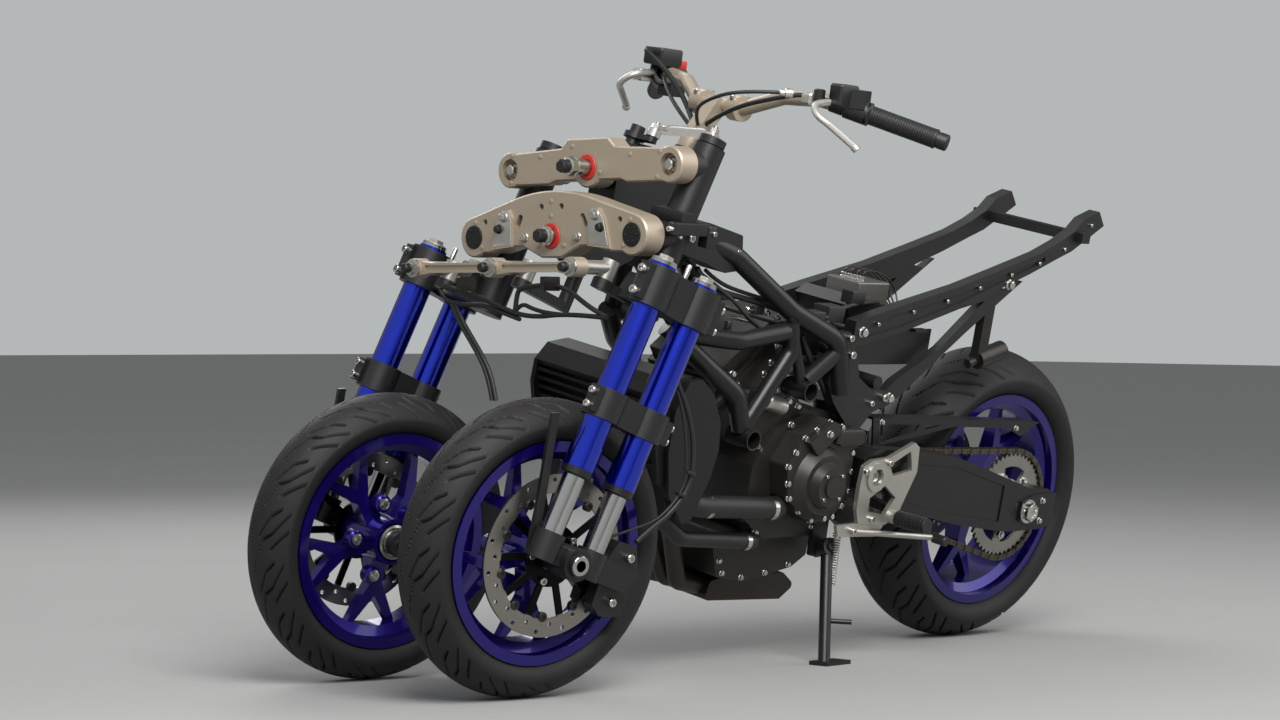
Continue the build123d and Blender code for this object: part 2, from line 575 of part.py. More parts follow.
def head_casting():
    """Cast head: the two lean pivots in front, the two steering shafts through it, wings for the tubes."""
    hx, rear_lower = HEAD_X, LOWER_ARM_FRONT_X - LOWER_ARM_T
    body = side_plate([(hx - 84, 1034), (hx - 48, 1034), (hx - GAP, 1012), (hx - GAP, 896), (hx + 26, 886),
                       (rear_lower - GAP, 884), (rear_lower - GAP, 815), (hx + 46, 800), (hx - 34, 796),
                       (hx - 84, 820), (hx - 114, 900), (hx - 154, 930), (hx - 124, 1000)], -34, 34, 5)
    body = body + side_plate([(hx - 239, 1012), (hx - 182, 1026), (hx - 94, 1000), (hx - 94, 860),
                              (hx - 114, 800), (hx - 214, 800), (hx - 274, 830), (hx - 264, 880),
                              (hx - 214, 930)], -26, 26, 5)
    bar_top = Vector(BAR_AXIS_X + (BAR_Z - 1024) * S / C, 0, 1024)
    body = body + rod(bar_top - UP * 120, bar_top, 30)
    for z, tip in ((UPPER_PIVOT_Z, UPPER_ARM_FRONT_X + UPPER_NOSE),
                   (LOWER_PIVOT_Z, LOWER_ARM_FRONT_X + LOWER_NOSE)):
        body = body + rod((axis_x(z) + SHAFT_R + 8, 0, z), (tip, 0, z), ARM_SHAFT_R)
    wing = side_plate([(hx - 134, 892), (hx - 224, 902), (hx - 324, 880), (hx - 338, 812), (hx - 289, 806),
                       (hx - 224, 826), (hx - 144, 846)], 22, 84, 5)
    well = side_plate([(hx - 154, 880), (hx - 224, 886), (hx - 306, 866), (hx - 312, 832), (hx - 224, 840),
                       (hx - 154, 856)], 40, 78)
    body = body + both(wing - well)
    shaft_low = Vector(axis_x(TIE_ROD_Z), 0, TIE_ROD_Z)
    body = body - rod(shaft_low - UP * 40, shaft_low + UP * 400, SHAFT_R + RUN)
    body = body - rod(bar_top - UP * 110, bar_top + UP * 40, BAR_STEM_R + RUN)
    for s in (-1, 1):
        body = body - pipe(main_tube(s), FRAME_TUBE_R + RUN, TUBE_BEND)
    add("head_casting", body, "chassis")


def main_tube(s):
    """Path of a main tube, from the head back and down to the pivot casting."""
    return [(HEAD_X - 234, s * 60, 866), (HEAD_X - 319, s * 78, 838), (832, s * 134, 744),
            (700, s * 152, 690), (664, s * 154, 585)]


def main_frame():
    """Steel tube frame: main tubes, down tubes and braces on each side, and the tubes' open mounts."""
    r, w = FRAME_TUBE_R, FRAME_WALL
    runs = [
        ([(HEAD_X - 122, 22, 812), (HEAD_X - 184, 96, 690), (975, 136, 684), (846, 142, 704)], r - 2, TUBE_BEND),
        ([(HEAD_X - 154, 78, 700), (1040, 122, 634), (958, 140, 580), (930, 142, 512)], r - 1, TUBE_BEND),
        ([(838, 144, 722), (824, 146, 668), (930, 144, 512)], r - 3, 30),
        ([(690, 152, 668), (776, 150, 606)], r - 3, 0),
        ([(836, 138, 740), (782, 148, 600)], 11, 0),
    ]
    body = pipe(main_tube(1), r, TUBE_BEND)
    for points, radius, bend in runs:
        body = body + pipe(points, radius, bend)
    for x, z in ((922, 496), (776, 590)):
        body = body + rod((x, 114, z), (x, 172, z), RING_R)
    for x, z in ((922, 496), (776, 590)):
        body = body - rod((x, 113, z), (x, 173, z), RING_R - w)
    add("main_frame", both(body), "chassis")
    trim("main_frame", "head_casting")


def pivot_casting():
    """Cast plates at the swingarm pivot, with their cross beams and the stand's bracket."""
    plate = side_plate([(700, 700), (660, 706), (636, 690), (606, 612), (560, 586), (512, 584), (506, 556),
                        (548, 540), (586, 500), (588, 470), (588, 360), (556, 346), (516, 320), (520, 296),
                        (560, 290), (604, 318), (606, 430), (628, 520), (672, 560), (700, 600)], 128, 148, 5)
    boss = rod((PIVOT[0], 127, PIVOT[1]), (PIVOT[0], 176, PIVOT[1]), 30)
    body = both(plate)
    for x, z in ((648, 660), SHOCK_TOP):
        body = body + rod((x, -130, z), (x, 130, z), 14)
    lug = side_plate([(600, 330), (646, 330), (640, 240), (596, 240)], 118, 128, 5)
    hinge = Vector(*STAND_TOP)
    pin = rod(hinge - STAND_AXIS * 34, hinge + STAND_AXIS * 15, STAND_PIN_R) + \
        rod(hinge - STAND_AXIS * 34, hinge - STAND_AXIS * 12, 15)
    body = body + lug + pin
    for s in (-1, 1):
        body = body - pipe(main_tube(s), FRAME_TUBE_R + RUN, TUBE_BEND)
    body = body - both(rod((690, 152, 668), (776, 150, 606), FRAME_TUBE_R - 3 + RUN))
    add("pivot_casting", body, "chassis")


def subframe():
    """Cast rails with their struts, the end crossbar and the front cross tube."""
    y0, y1 = 106, 134
    top = [(628, 724), (613, 727), (501, 755), (316, 798), (191, 834), (63, 872), (0, 898), (-46, 923), (-74, 950),
           (-124, 968)]
    low = [(-148, 938), (-104, 912), (-48, 880), (0, 862), (86, 828), (180, 795), (220, 770), (303, 752),
           (486, 700), (587, 678), (628, 672)]
    rail = side_plate(top + low, y0, y1)
    groove = side_plate([(590, 716), (501, 740), (316, 782), (40, 866), (40, 856), (303, 764), (486, 712), (590, 690)],
                        y1 - 4, y1 + 1)
    strut = side_plate([(180, 800), (136, 790), (100, 812), (260, 704), (340, 646), (440, 572), (496, 540), (512, 562),
                        (470, 600), (340, 668), (250, 742)], y0 + 4, y1 - 4)
    body = both((rail - groove) + strut)
    body = body + block(-84, -56, -150, 150, 900, 922)
    body = body + rod((612, -y0, 700), (612, y0, 700), 10)
    add("subframe", body, "chassis")
    trim("subframe", "pivot_casting", "main_frame")


def engine():
    """Three-cylinder engine: crankcase with its covers and pan, and the block that leans forward."""
    cx, cz = CRANK
    case = side_plate([(592, 330), (592, 500), (640, 536), (700, 540), (800, 500), (850, 430), (850, 330),
                       (800, 280), (640, 280)], -118, 118, 12)
    pan = side_plate([(600, 290), (880, 290), (888, 258), (862, 196), (780, 182), (640, 206), (600, 230)], -88, 84, 8)
    flange = side_plate([(608, 505), (694, 532), (762, 500), (802, 440), (784, 372), (704, 320), (640, 326), (600, 380)],
                        110, 166, 8)
    dome = cone((cx, 166, cz), (cx, 186, cz), 76, 60) + cone((cx, 186, cz), (cx, 204, cz), 48, 40) + \
        rod((cx, 204, cz), (cx, 208, cz), 21)
    clutch = rod((cx - 6, -172, cz + 12), (cx - 6, -110, cz + 12), 90) + \
        cone((cx - 6, -186, cz + 12), (cx - 6, -172, cz + 12), 66, 78)
    cheek = side_plate([(668, 512), (700, 530), (760, 488), (730, 462)], 164, 180, 3)
    pocket = block(500, OUTPUT[0] + 55, CHAIN_SIDE - 16, CHAIN_SIDE + 14, OUTPUT[1] - 58, OUTPUT[1] + 58)
    shaft = rod((OUTPUT[0], 90, OUTPUT[1]), (OUTPUT[0], CHAIN_SIDE + 12, OUTPUT[1]), 14)
    drive = rod((OUTPUT[0], CHAIN_SIDE - 3.4, OUTPUT[1]), (OUTPUT[0], CHAIN_SIDE + 3.4, OUTPUT[1]),
                pitch_r(FRONT_TEETH) - ROLLER_R - 1)
    body = case + pan + flange + dome + clutch + cheek - pocket + shaft + drive
    nodes["crankcase"] = (body, "chassis")
    trim("crankcase", "pivot_casting", "main_frame")
    tilt = Plane(origin=(cx, 0, cz), x_dir=(cos(radians(BANK)), 0, -sin(radians(BANK))),
                 z_dir=(sin(radians(BANK)), 0, cos(radians(BANK))))
    stack = None
    for low, high, length, width in ((115, 222, 146, 208), (222, 232, 158, 216), (232, 300, 172, 220),
                                     (300, 308, 164, 214), (308, 336, 146, 196)):
        layer = tilt * Pos(0, 0, (low + high) / 2) * Box(length, width, high - low)
        stack = layer if stack is None else stack + layer
    bodies = block(690, 822, -104, 104, 646, 716, 6)
    for y in (-76, 0, 76):
        bodies = bodies + rod((700, y, 690), (662, y, 716), 26)
    add("cylinder_block", stack + bodies, "chassis")
    trim("cylinder_block", "crankcase")


def exhaust():
    """Three header pipes into a collector under the engine, and the silencer on the right."""
    body = None
    for y in (-80, 0, 80):
        run = pipe([(920, y, 563), (1010, y, 496), (1018, y * 0.9, 330), (900, y * 0.45 - 20, 172), (800, y * 0.4 - 30, 152)],
                   18, 36)
        body = run if body is None else body + run
    case = side_plate([(820, 172), (830, 132), (600, 122), (560, 150), (600, 178), (780, 178)], -98, 34, 10)
    tail = pipe([(620, -70, 150), (470, -120, 160), (400, -206, 206), (300, -232, 254)], 26, 50)
    can = rod((352, -226, 228), (90, -242, 350), 50)
    add("exhaust", body + case + tail + can, "chassis")
    trim("exhaust", "cylinder_block", "crankcase")


def cooling():
    """Radiator with its top cover, louvres and side covers, and the hoses to the engine."""
    slope = 8
    core = Plane(origin=(1136, 0, 472), x_dir=(cos(radians(slope)), 0, -sin(radians(slope))),
                 z_dir=(sin(radians(slope)), 0, cos(radians(slope)))) * Box(34, 334, 250)
    top = side_plate([(1108, 606), (1124, 624), (1178, 616), (1206, 584), (1200, 574), (1120, 594)], -167, 167)
    cover = side_plate([(1140, 615), (1105, 620), (1066, 590), (1036, 536), (1028, 482), (1040, 426), (1076, 344),
                        (1098, 340), (1148, 396), (1168, 480), (1166, 560)], 167, 181, 7)
    frame = side_plate([(1140, 600), (1206, 584), (1208, 540), (1172, 420), (1140, 400)], 158, 168)
    body = core + top + both(cover + frame)
    for i in range(8):
        z = 566 - i * 17
        body = body + block(1196 - i * 4.6, 1204 - i * 4.6, -160, 160, z - 3, z + 3)
    body = body + block(1176, 1184, -5, 5, 440, 590)
    add("radiator", body, "chassis")
    upper = pipe([(1130, 150, 382), (1030, 158, 366), (790, 146, 350), (752, 112, 350)], 22, 40)
    lower = pipe([(1120, 120, 352), (1040, 130, 296), (830, 130, 280), (792, 100, 280)], 16, 36)
    add("coolant_hoses", upper + lower, "chassis")
    trim("coolant_hoses", "crankcase", "radiator")


def electrics():
    """Battery tray hung between the rails, and the brake modulator on its bracket."""
    t = 4
    low = SHOCK_TOP[1] + 30
    tray = block(330, 560, -92, 92, low, low + t) + block(330, 560, -92, -92 + t, low, 700) + \
        block(330, 560, 92 - t, 92, low, 700) + block(330, 330 + t, -92, 92, low, 684) + \
        block(560 - t, 560, -92, 92, low, 700)
    ears = both(block(470, 510, 90, 106, 696, 702)) + both(block(360, 400, 90, 106, 696, 702))
    deck = side_plate([(560, 700), (590, 744), (560, 762), (470, 742), (430, 730), (400, 716), (400, 706), (560, 706)],
                      -70, 70)
    add("electrics_tray", tray + ears + deck, "chassis")
    add("brake_modulator", block(432, 530, -42, 46, 738, 786, 4), "chassis")
    trim("brake_modulator", "electrics_tray")
    trim("electrics_tray", "subframe", "pivot_casting")


def swingarm():
    """Box-section swingarm: two beams, the pivot tube, a bridge, the shock's lugs and the axle."""
    px, pz = PIVOT
    outline = [(px + 24, pz + 34), (px - 20, pz + 52), (360, 457), (264, 443), (172, 419), (78, 392), (0, 370),
               (-70, 366), (-86, 346), (-86, 294), (-70, 278), (30, 276), (79, 278), (240, 300), (433, 338),
               (px - 30, pz - 44), (px + 24, pz - 32)]
    near, far = ARM_SIDE - 20, ARM_SIDE + 20
    left = side_plate(outline, near, far, 8)
    slot = side_plate([(12, REAR_AXLE.Z + 17), (-56, REAR_AXLE.Z + 17), (-56, REAR_AXLE.Z - 17), (12, REAR_AXLE.Z - 17)],
                      near - 1, far + 1)
    panel = side_plate([(px - 60, pz + 26), (264, 424), (90, 378), (90, 300), (240, 320), (433, 356)], far - 3, far + 1)
    left = left - panel
    cross = rod((px, -near - 4, pz), (px, near + 4, pz), 24)
    bridge = block(346, 396, -near - 6, near + 6, 350, 420)
    fx, fz = SHOCK_FOOT
    lugs = both(side_plate([(380, 420), (fx + 18, fz + 10), (fx + 14, fz - 16), (fx - 14, fz - 16), (350, 370)], 20, 30))
    eye = rod((fx, -30, fz), (fx, 30, fz), SHOCK_PIN_R)
    axle = rod((0, -far - 6, REAR_AXLE.Z), (0, far + 6, REAR_AXLE.Z), REAR_BORE - RUN)
    nuts = both(rod((0, far + 6, REAR_AXLE.Z), (0, far + 18, REAR_AXLE.Z), 19))
    plates = both(side_plate([(-20, REAR_AXLE.Z + 34), (-92, REAR_AXLE.Z + 38), (-92, REAR_AXLE.Z - 36),
                              (-20, REAR_AXLE.Z - 34), (24, REAR_AXLE.Z - 22), (24, REAR_AXLE.Z + 22)], far, far + 6, 4))
    stays = rod((0, -near, REAR_AXLE.Z), (0, REAR_HUB_IN - DISC_T - RUN, REAR_AXLE.Z), 22) + \
        rod((0, CHAIN_SIDE + 3.4 + RUN, REAR_AXLE.Z), (0, near, REAR_AXLE.Z), 22)
    body = left + mirrored(left) + cross + bridge + lugs + eye + axle + nuts + plates + stays
    body = body + chain_guard()
    caliper = Pos(0, REAR_DISC_SIDE, REAR_AXLE.Z) * (
        side_plate([(70, 60), (150, 60), (160, 110), (60, 134)], -30, 30, 6) -
        rod((0, -6, 0), (0, 6, 0), REAR_DISC_R + 5))
    link = side_plate([(60, 350), (110, 350), (140, 400), (70, 420)], -near - 2, REAR_DISC_SIDE - 20)
    add("swingarm", body + caliper + link, "chassis")


def chain():
    """Closed loop of chain round the two sprockets."""
    front = Vector(OUTPUT[0], CHAIN_SIDE, OUTPUT[1])
    rear = REAR_AXLE + Vector(0, CHAIN_SIDE, 0)
    r0, r1 = pitch_r(REAR_TEETH), pitch_r(FRONT_TEETH)
    dx, dz = front.X - rear.X, front.Z - rear.Z
    base, spread = atan2(dz, dx), acos((r0 - r1) / hypot(dx, dz))
    up, down = base + spread, base - spread

    def loop(grow):
        a, b = r0 + grow, r1 + grow
        p0 = (rear.X + a * cos(up), rear.Z + a * sin(up))
        p1 = (front.X + b * cos(up), front.Z + b * sin(up))
        p2 = (front.X + b * cos(base), front.Z + b * sin(base))
        p3 = (front.X + b * cos(down), front.Z + b * sin(down))
        p4 = (rear.X + a * cos(down), rear.Z + a * sin(down))
        p5 = (rear.X - a * cos(base), rear.Z - a * sin(base))
        return make_face([Line(p0, p1), ThreePointArc(p1, p2, p3), Line(p3, p4), ThreePointArc(p4, p5, p0)])
    at = Plane.XZ.offset(-CHAIN_SIDE)
    plates = extrude(at * (loop(7.5) - loop(-7.5)), amount=10, both=True)
    groove = extrude(at * (loop(-4.8) - loop(-9)), amount=4.2, both=True)
    add("chain", plates - groove, "chassis")


def chain_guard():
    """Guard above the chain, with an open truss in front, and the hugger over the tyre."""
    flange = side_plate([(524, 526), (-40, 506), (-38, 502), (524, 521)], 98, 136)
    web = side_plate([(524, 526), (-40, 506), (16, 476), (60, 494), (250, 502), (478, 468), (484, 438), (506, 442)],
                     131, 136)
    for hole in ([(504, 512), (490, 470), (380, 494), (370, 508)], [(350, 507), (300, 506), (348, 497)]):
        web = web - side_plate(hole, 130, 137)
    return flange + web + block(490, 506, 124, 136, 440, 462)


def shock():
    """Rear shock on its two eyes, and the remote adjuster on the left strut."""
    top, foot = Vector(SHOCK_TOP[0], 0, SHOCK_TOP[1]), Vector(SHOCK_FOOT[0], 0, SHOCK_FOOT[1])
    d = (top - foot).normalized()
    wide = Vector(0, 16, 0)
    body = rod(foot, top, 18) + rod(foot + d * 56, foot + d * 66, 36) + rod(top - d * 78, top - d * 56, 36) + \
        rod(foot - wide, foot + wide, 20) + rod(top - wide, top + wide, 24) + rod(foot + d * 62, top - d * 60, 27)
    for i in range(7):
        at = foot + d * (78 + i * 21)
        body = body + rod(at - d * 5, at + d * 5, 35)
    body = body - rod(foot - wide * 2, foot + wide * 2, SHOCK_PIN_R + RUN) - rod(top - wide * 2, top + wide * 2, 14 + RUN)
    can = rod((196, 118, 640), (116, 118, 662), 20) + rod((224, 118, 632), (196, 118, 640), 10) + \
        block(176, 206, 108, 128, 640, 780)
    add("rear_shock", body + can, "chassis")
    trim("rear_shock", "subframe")


def foot_brackets():
    """Open cast brackets at the swingarm's pivot, with their rests and the gear lever."""
    px, pz = PIVOT
    plate = side_plate([(596, 440), (572, 452), (520, 456), (446, 486), (430, 476), (424, 424), (466, 332), (500, 316),
                        (586, 322), (598, 350), (600, 400)], 182, 192, 4)
    for hole in ([(516, 440), (456, 468), (442, 428), (500, 418)], [(520, 398), (562, 374), (560, 346), (506, 336),
                                                                    (480, 372)]):
        plate = plate - side_plate(hole, 181, 193)
    plate = plate + rod((px, ARM_SIDE + 20, pz), (px, 196, pz), 30) - \
        rod((px, ARM_SIDE + 19, pz), (px, 197, pz), 17)
    plate = plate + side_plate([(586, 322), (650, 320), (640, 296), (520, 292), (500, 316)], 182, 190, 3)
    peg = rod((480, 190, 332), (480, 284, 336), 14)
    add("foot_brackets", both(plate + peg) + rod((600, 190, 306), (370, 226, 292), 6) + \
        rod((374, 224, 292), (374, 256, 292), 8), "chassis")
    trim("foot_brackets", "crankcase", "pivot_casting")


def stand():
    """Side stand: a leg with a foot and a tang, hinged on the bracket's pin."""
    foot = STAND_FOOT
    top = Vector(*STAND_TOP)
    ground_up = to_design_dir(Vector(0, 0, 1))
    leg = rod(top, foot, 12)
    pad = Plane(origin=foot, x_dir=(1, 0, 0), z_dir=ground_up) * Pos(-14, 4, 4) * Box(74, 46, 8)
    eye = rod(top - STAND_AXIS * 11, top + STAND_AXIS * 11, 19)
    along = (foot - top).normalized()
    tang = rod(top + along * 150, top + along * 158 + Vector(-40, 34, 12), 5)
    ground = LEANED.inverse() * Pos(foot.X, 240, -50) * Box(300, 300, 100)
    hole = rod(top - STAND_AXIS * 30, top + STAND_AXIS * 30, STAND_PIN_R + RUN)
    slot = rod(top - STAND_AXIS * 50, top - STAND_AXIS * 11, 22) + rod(top + STAND_AXIS * 11, top + STAND_AXIS * 50, 22)
    add("side_stand", leg + pad + tang - slot + eye - hole - ground, "side_stand")


def to_design_dir(v):
    """A direction of the parked vehicle's world, given in the design frame."""
    return v.rotate(Axis.X, REST_LEAN)


def ground_point(x, y):
    """The point of the design frame that meets the ground at x and the chassis' own y."""
    lean = radians(REST_LEAN)
    z = (-LIFT + y * sin(lean)) / cos(lean)
    return Vector(x, y, z)


STAND_TOP = (616.0, 148.0, 262.0)
STAND_PIN_R = 8.0
STAND_FOOT = ground_point(674, 238)
STOWED = Vector(-0.995, 0.1, 0)         # where the leg points when it is folded
STAND_AXIS = (STAND_FOOT - Vector(*STAND_TOP)).cross(STOWED).normalized()


# ---------------------------------------------------------------- handlebar
def handlebar():
    """Handlebar in a forked riser, whose stem turns in the head; grips, switches and levers."""
    bx = BAR_AXIS_X
    grip_in, grip_out = Vector(bx - 127, 307, 1143), Vector(bx - 207, 417, 1114)
    half = [(bx - 28, 0, 1118), (bx - 30, 66, 1118), (bx - 61, 145, 1151), (bx - 84, 222, 1157), tuple(grip_in), tuple(grip_out)]
    bar = both(pipe(half, BAR_R, 30))
    top = Vector(BAR_AXIS_X + (BAR_Z - 1036) * S / C, 0, 1036)
    riser = rod(top - UP * 10, top + UP * 26, 27)
    arm = Plane(origin=(top.X - 4, 8, 1050), x_dir=(-0.5, 0.42, 0.76), z_dir=(0, 1, 0)) * Pos(50, 0, 0) * Box(84, 30, 22)
    clamp = rod((bx - 30, 40, 1118), (bx - 30, 68, 1118), 25)
    riser = riser + both(arm + clamp)
    stem = rod(top - UP * 118, top, BAR_STEM_R)
    rear = Vector(BAR_AXIS_X + (BAR_Z - LINK_Z) * S / C, 0, LINK_Z)
    eye = rear + Vector(0, LINK_ARM, 0)
    riser = riser - rod(eye - UP * 12, eye + UP * 12, 13 + GAP)
    add("handlebar", bar + riser + stem + link_arm(rear), "handlebar")
    d = (grip_out - grip_in).normalized()
    grip = ring(grip_in + d * 4, grip_out - d * 2, GRIP_R, BAR_R + RUN) + rod(grip_out, grip_out + d * 18, 15)
    sleeve = ring(grip_in - d * 42, grip_in, 22, BAR_R + RUN) + \
        Plane(origin=grip_in - d * 22, x_dir=d, z_dir=(0, 0, 1)) * Pos(0, 0, 20) * Box(40, 50, 34)
    perch = ring(grip_in - d * 70, grip_in - d * 46, 20, BAR_R + RUN)
    switch = sleeve - rod(grip_in - d * 80, grip_out, BAR_R + RUN)
    add("bar_controls", both(grip + switch + perch), "handlebar")
    trim("bar_controls", "handlebar")
    blade = pipe([grip_in - d * 58 + Vector(22, 6, 2), (bx + 4, 270, 1146), (bx - 26, 310, 1120), (bx - 74, 341, 1082)], 6.5, 30)
    ball = rod((bx - 74, 341, 1082), (bx - 78, 346, 1077), 8)
    add("levers", both(blade + ball), "handlebar")
    trim("levers", "bar_controls")


# ---------------------------------------------------------------- pose at rest
def lean_shift(side):
    """How far the arms carry a side post when the chassis leans."""
    a = radians(REST_LEAN)
    return Vector(0, side * HALF * (cos(a) - 1), side * HALF * sin(a))


def turned_about(point, axis, angle):
    """Rotation by an angle about an axis through a point, as a Location."""
    p = Vector(point)
    spin = Location((0, 0, 0), tuple(axis), angle)
    return Location(tuple(p)) * spin * Location(tuple(-p))


def poses():
    move = {}
    move["chassis"] = Location()
    move["rear_wheel"] = Location()
    move["side_stand"] = Location()
    x_axis = (1, 0, 0)
    move["upper_arm"] = turned_about((0, 0, UPPER_PIVOT_Z), x_axis, REST_LEAN)
    move["lower_arm"] = turned_about((0, 0, LOWER_PIVOT_Z), x_axis, REST_LEAN)
    swing = STEER_ARM * (AHEAD.rotate(Axis((0, 0, 0), tuple(UP)), REST_STEER) - AHEAD)
    for side, name in ((1, "left"), (-1, "right")):
        shift = Location(tuple(lean_shift(side)))
        point = STEER_POINT if side > 0 else Vector(STEER_POINT.X, -STEER_POINT.Y, STEER_POINT.Z)
        steer = turned_about(point, tuple(UP), REST_STEER)
        move[name + "_post"] = shift
        move[name + "_fork"] = shift * steer
        move[name + "_wheel"] = shift * steer
        move[name + "_swivel"] = shift * Location(tuple(swing))
    centre = (STEER_POINT.X, 0, STEER_POINT.Z)
    move["pitman"] = turned_about(centre, tuple(UP), REST_STEER)
    move["centre_swivel"] = Location(tuple(swing))
    move["tie_rod"] = Location(tuple(swing)) * turned_about((0, 0, TIE_ROD_Z), x_axis, REST_LEAN)
    bar = (BAR_AXIS_X, 0, BAR_Z)
    move["handlebar"] = turned_about(bar, tuple(UP), REST_STEER)
    side = Vector(0, 1, 0)
    move["steering_link"] = Location(tuple(LINK_ARM * (side.rotate(Axis((0, 0, 0), tuple(UP)), REST_STEER) - side)))
    return move


for make in (rear_wheel, front_wheel, fork, upper_arm, lower_arm, post, steering_links, head_casting, main_frame,
             pivot_casting, subframe, engine, exhaust, cooling, electrics, swingarm, chain, shock, foot_brackets,
             stand, handlebar):
    make()

MOVE = poses()
posed = {name: LEANED * MOVE[body] * shape for name, (shape, body) in nodes.items()}
whole = Compound(children=[Compound(s.solids()) for s in posed.values()]).bounding_box()
ORIGIN = Vector(-(whole.min.X + whole.max.X) / 2, -(whole.min.Y + whole.max.Y) / 2, 0)
os.makedirs("parts", exist_ok=True)
for name, shape in posed.items():
    export_step(Pos(ORIGIN.X, ORIGIN.Y, 0) * Compound(shape.solids()), f"parts/{name}.step")
print("origin shift", ORIGIN, "box", whole.min, whole.max)
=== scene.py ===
"""Surfaces, finishes and small fittings for a leaning three-wheeled motorcycle without its bodywork."""

import json
import math

import bmesh
import bpy
import numpy as np
from mathutils import Matrix, Vector


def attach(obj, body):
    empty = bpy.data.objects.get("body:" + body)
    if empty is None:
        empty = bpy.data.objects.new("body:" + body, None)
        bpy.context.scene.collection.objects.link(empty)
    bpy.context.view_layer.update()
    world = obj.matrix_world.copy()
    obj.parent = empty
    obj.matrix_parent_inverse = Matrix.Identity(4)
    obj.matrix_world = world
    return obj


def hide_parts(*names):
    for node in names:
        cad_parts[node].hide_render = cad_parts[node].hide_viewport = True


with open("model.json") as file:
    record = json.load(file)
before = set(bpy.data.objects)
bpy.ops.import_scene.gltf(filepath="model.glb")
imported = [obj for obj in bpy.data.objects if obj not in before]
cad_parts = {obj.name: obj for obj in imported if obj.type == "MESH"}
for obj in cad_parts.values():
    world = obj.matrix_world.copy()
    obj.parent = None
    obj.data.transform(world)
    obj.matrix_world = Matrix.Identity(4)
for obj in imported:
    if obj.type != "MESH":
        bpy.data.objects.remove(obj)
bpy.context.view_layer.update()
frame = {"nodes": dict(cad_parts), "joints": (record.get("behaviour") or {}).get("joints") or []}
nodes = frame["nodes"]
joints = {j["name"]: j for j in frame["joints"]}

# ---------------- stage and camera
# A pale painted floor in a plain studio, under three soft lamps and a sky that is brighter ahead and overhead.
# The machine is seen from its left front, at the height of its axles, through a long lens.
CAMERA_AT, LENS = (4.801, 4.152, 0.685), 89.93
YAW, PITCH, ROLL = (math.radians(a) for a in (-136.48, -0.74, 0.43))
LAMPS = (("key", 3.2, 430.0, (2.6, 3.4, 4.2)),      # name, size in metres, watts, place
         ("fill", 4.0, 110.0, (-3.4, 3.0, 2.6)),
         ("rim", 3.0, 110.0, (-1.5, -4.0, 3.6)))
LAMPS_AIM = (0.2, 0, 0.5)
SKY, SKY_FROM, SKY_LOW, SKY_HIGH = (0.78, 0.8, 0.82, 1), (0.75, 0.1, 0.65), 0.05, 0.85
BACKDROP = (0.46, 0.48, 0.48, 1)
FLOOR_REACH = 40

look = Vector((math.cos(PITCH) * math.cos(YAW), math.cos(PITCH) * math.sin(YAW), math.sin(PITCH)))
right = look.cross(Vector((0, 0, 1))).normalized()
above = right.cross(look)
cam_x = right * math.cos(ROLL) + above * math.sin(ROLL)
cam_y = above * math.cos(ROLL) - right * math.sin(ROLL)
camera = bpy.data.objects.new("camera", bpy.data.cameras.new("camera"))
camera.data.sensor_width, camera.data.lens = 36.0, LENS
camera.matrix_world = Matrix.Translation(CAMERA_AT) @ Matrix((cam_x, cam_y, -look)).transposed().to_4x4()
bpy.context.collection.objects.link(camera)
scene = bpy.context.scene
scene.camera = camera
scene.view_settings.view_transform = "Standard"

for name, size, watts, place in LAMPS:
    lamp = bpy.data.objects.new(name, bpy.data.lights.new(name, "AREA"))
    lamp.data.size, lamp.data.energy = size, watts
    lamp.location = place
    lamp.rotation_euler = (Vector(LAMPS_AIM) - Vector(place)).to_track_quat("-Z", "Y").to_euler()
    bpy.context.collection.objects.link(lamp)


def node(tree, kind, feeds=(), **settings):
    """One shader node; its feeds are pairs of an input and the value or the output that goes into it."""
    made = tree.nodes.new("ShaderNode" + kind)
    for name, value in settings.items():
        setattr(made, name, value)
    for socket, value in feeds:
        if isinstance(value, bpy.types.NodeSocket):
            tree.links.new(value, made.inputs[socket])
        else:
            made.inputs[socket].default_value = value
    return made


def mix(tree, factor, a, b):
    """Colour a where the factor is 0 and colour b where it is 1."""
    return node(tree, "Mix", ((0, factor), (6, a), (7, b)), data_type="RGBA").outputs[2]


world = bpy.data.worlds.new("studio")
scene.world = world
world.use_nodes = True
tree = world.node_tree
sky = tree.nodes["Background"]
sky.inputs["Color"].default_value = SKY
toward = node(tree, "VectorMath", ((0, node(tree, "TexCoord").outputs["Generated"]), (1, SKY_FROM)),
              operation="DOT_PRODUCT")
level = node(tree, "MapRange", (("Value", toward.outputs["Value"]), ("From Min", -0.4), ("To Min", SKY_LOW),
                                ("To Max", SKY_HIGH)))
tree.links.new(level.outputs[0], sky.inputs["Strength"])
wall = node(tree, "Background", (("Color", BACKDROP), ("Strength", 1.0)))
path = node(tree, "LightPath")
direct = node(tree, "Math", ((0, path.outputs["Is Camera Ray"]), (1, path.outputs["Is Transmission Ray"])),
              operation="ADD", use_clamp=True)
both = node(tree, "MixShader", ((0, direct.outputs[0]), (1, sky.outputs[0]), (2, wall.outputs[0])))
tree.links.new(both.outputs[0], tree.nodes["World Output"].inputs["Surface"])


def linear(colour):
    """A colour of 0 to 255 as light values."""
    c = np.asarray(colour, float) / 255
    return tuple(np.where(c <= 0.04045, c / 12.92, ((c + 0.055) / 1.055) ** 2.4)) + (1.0,)


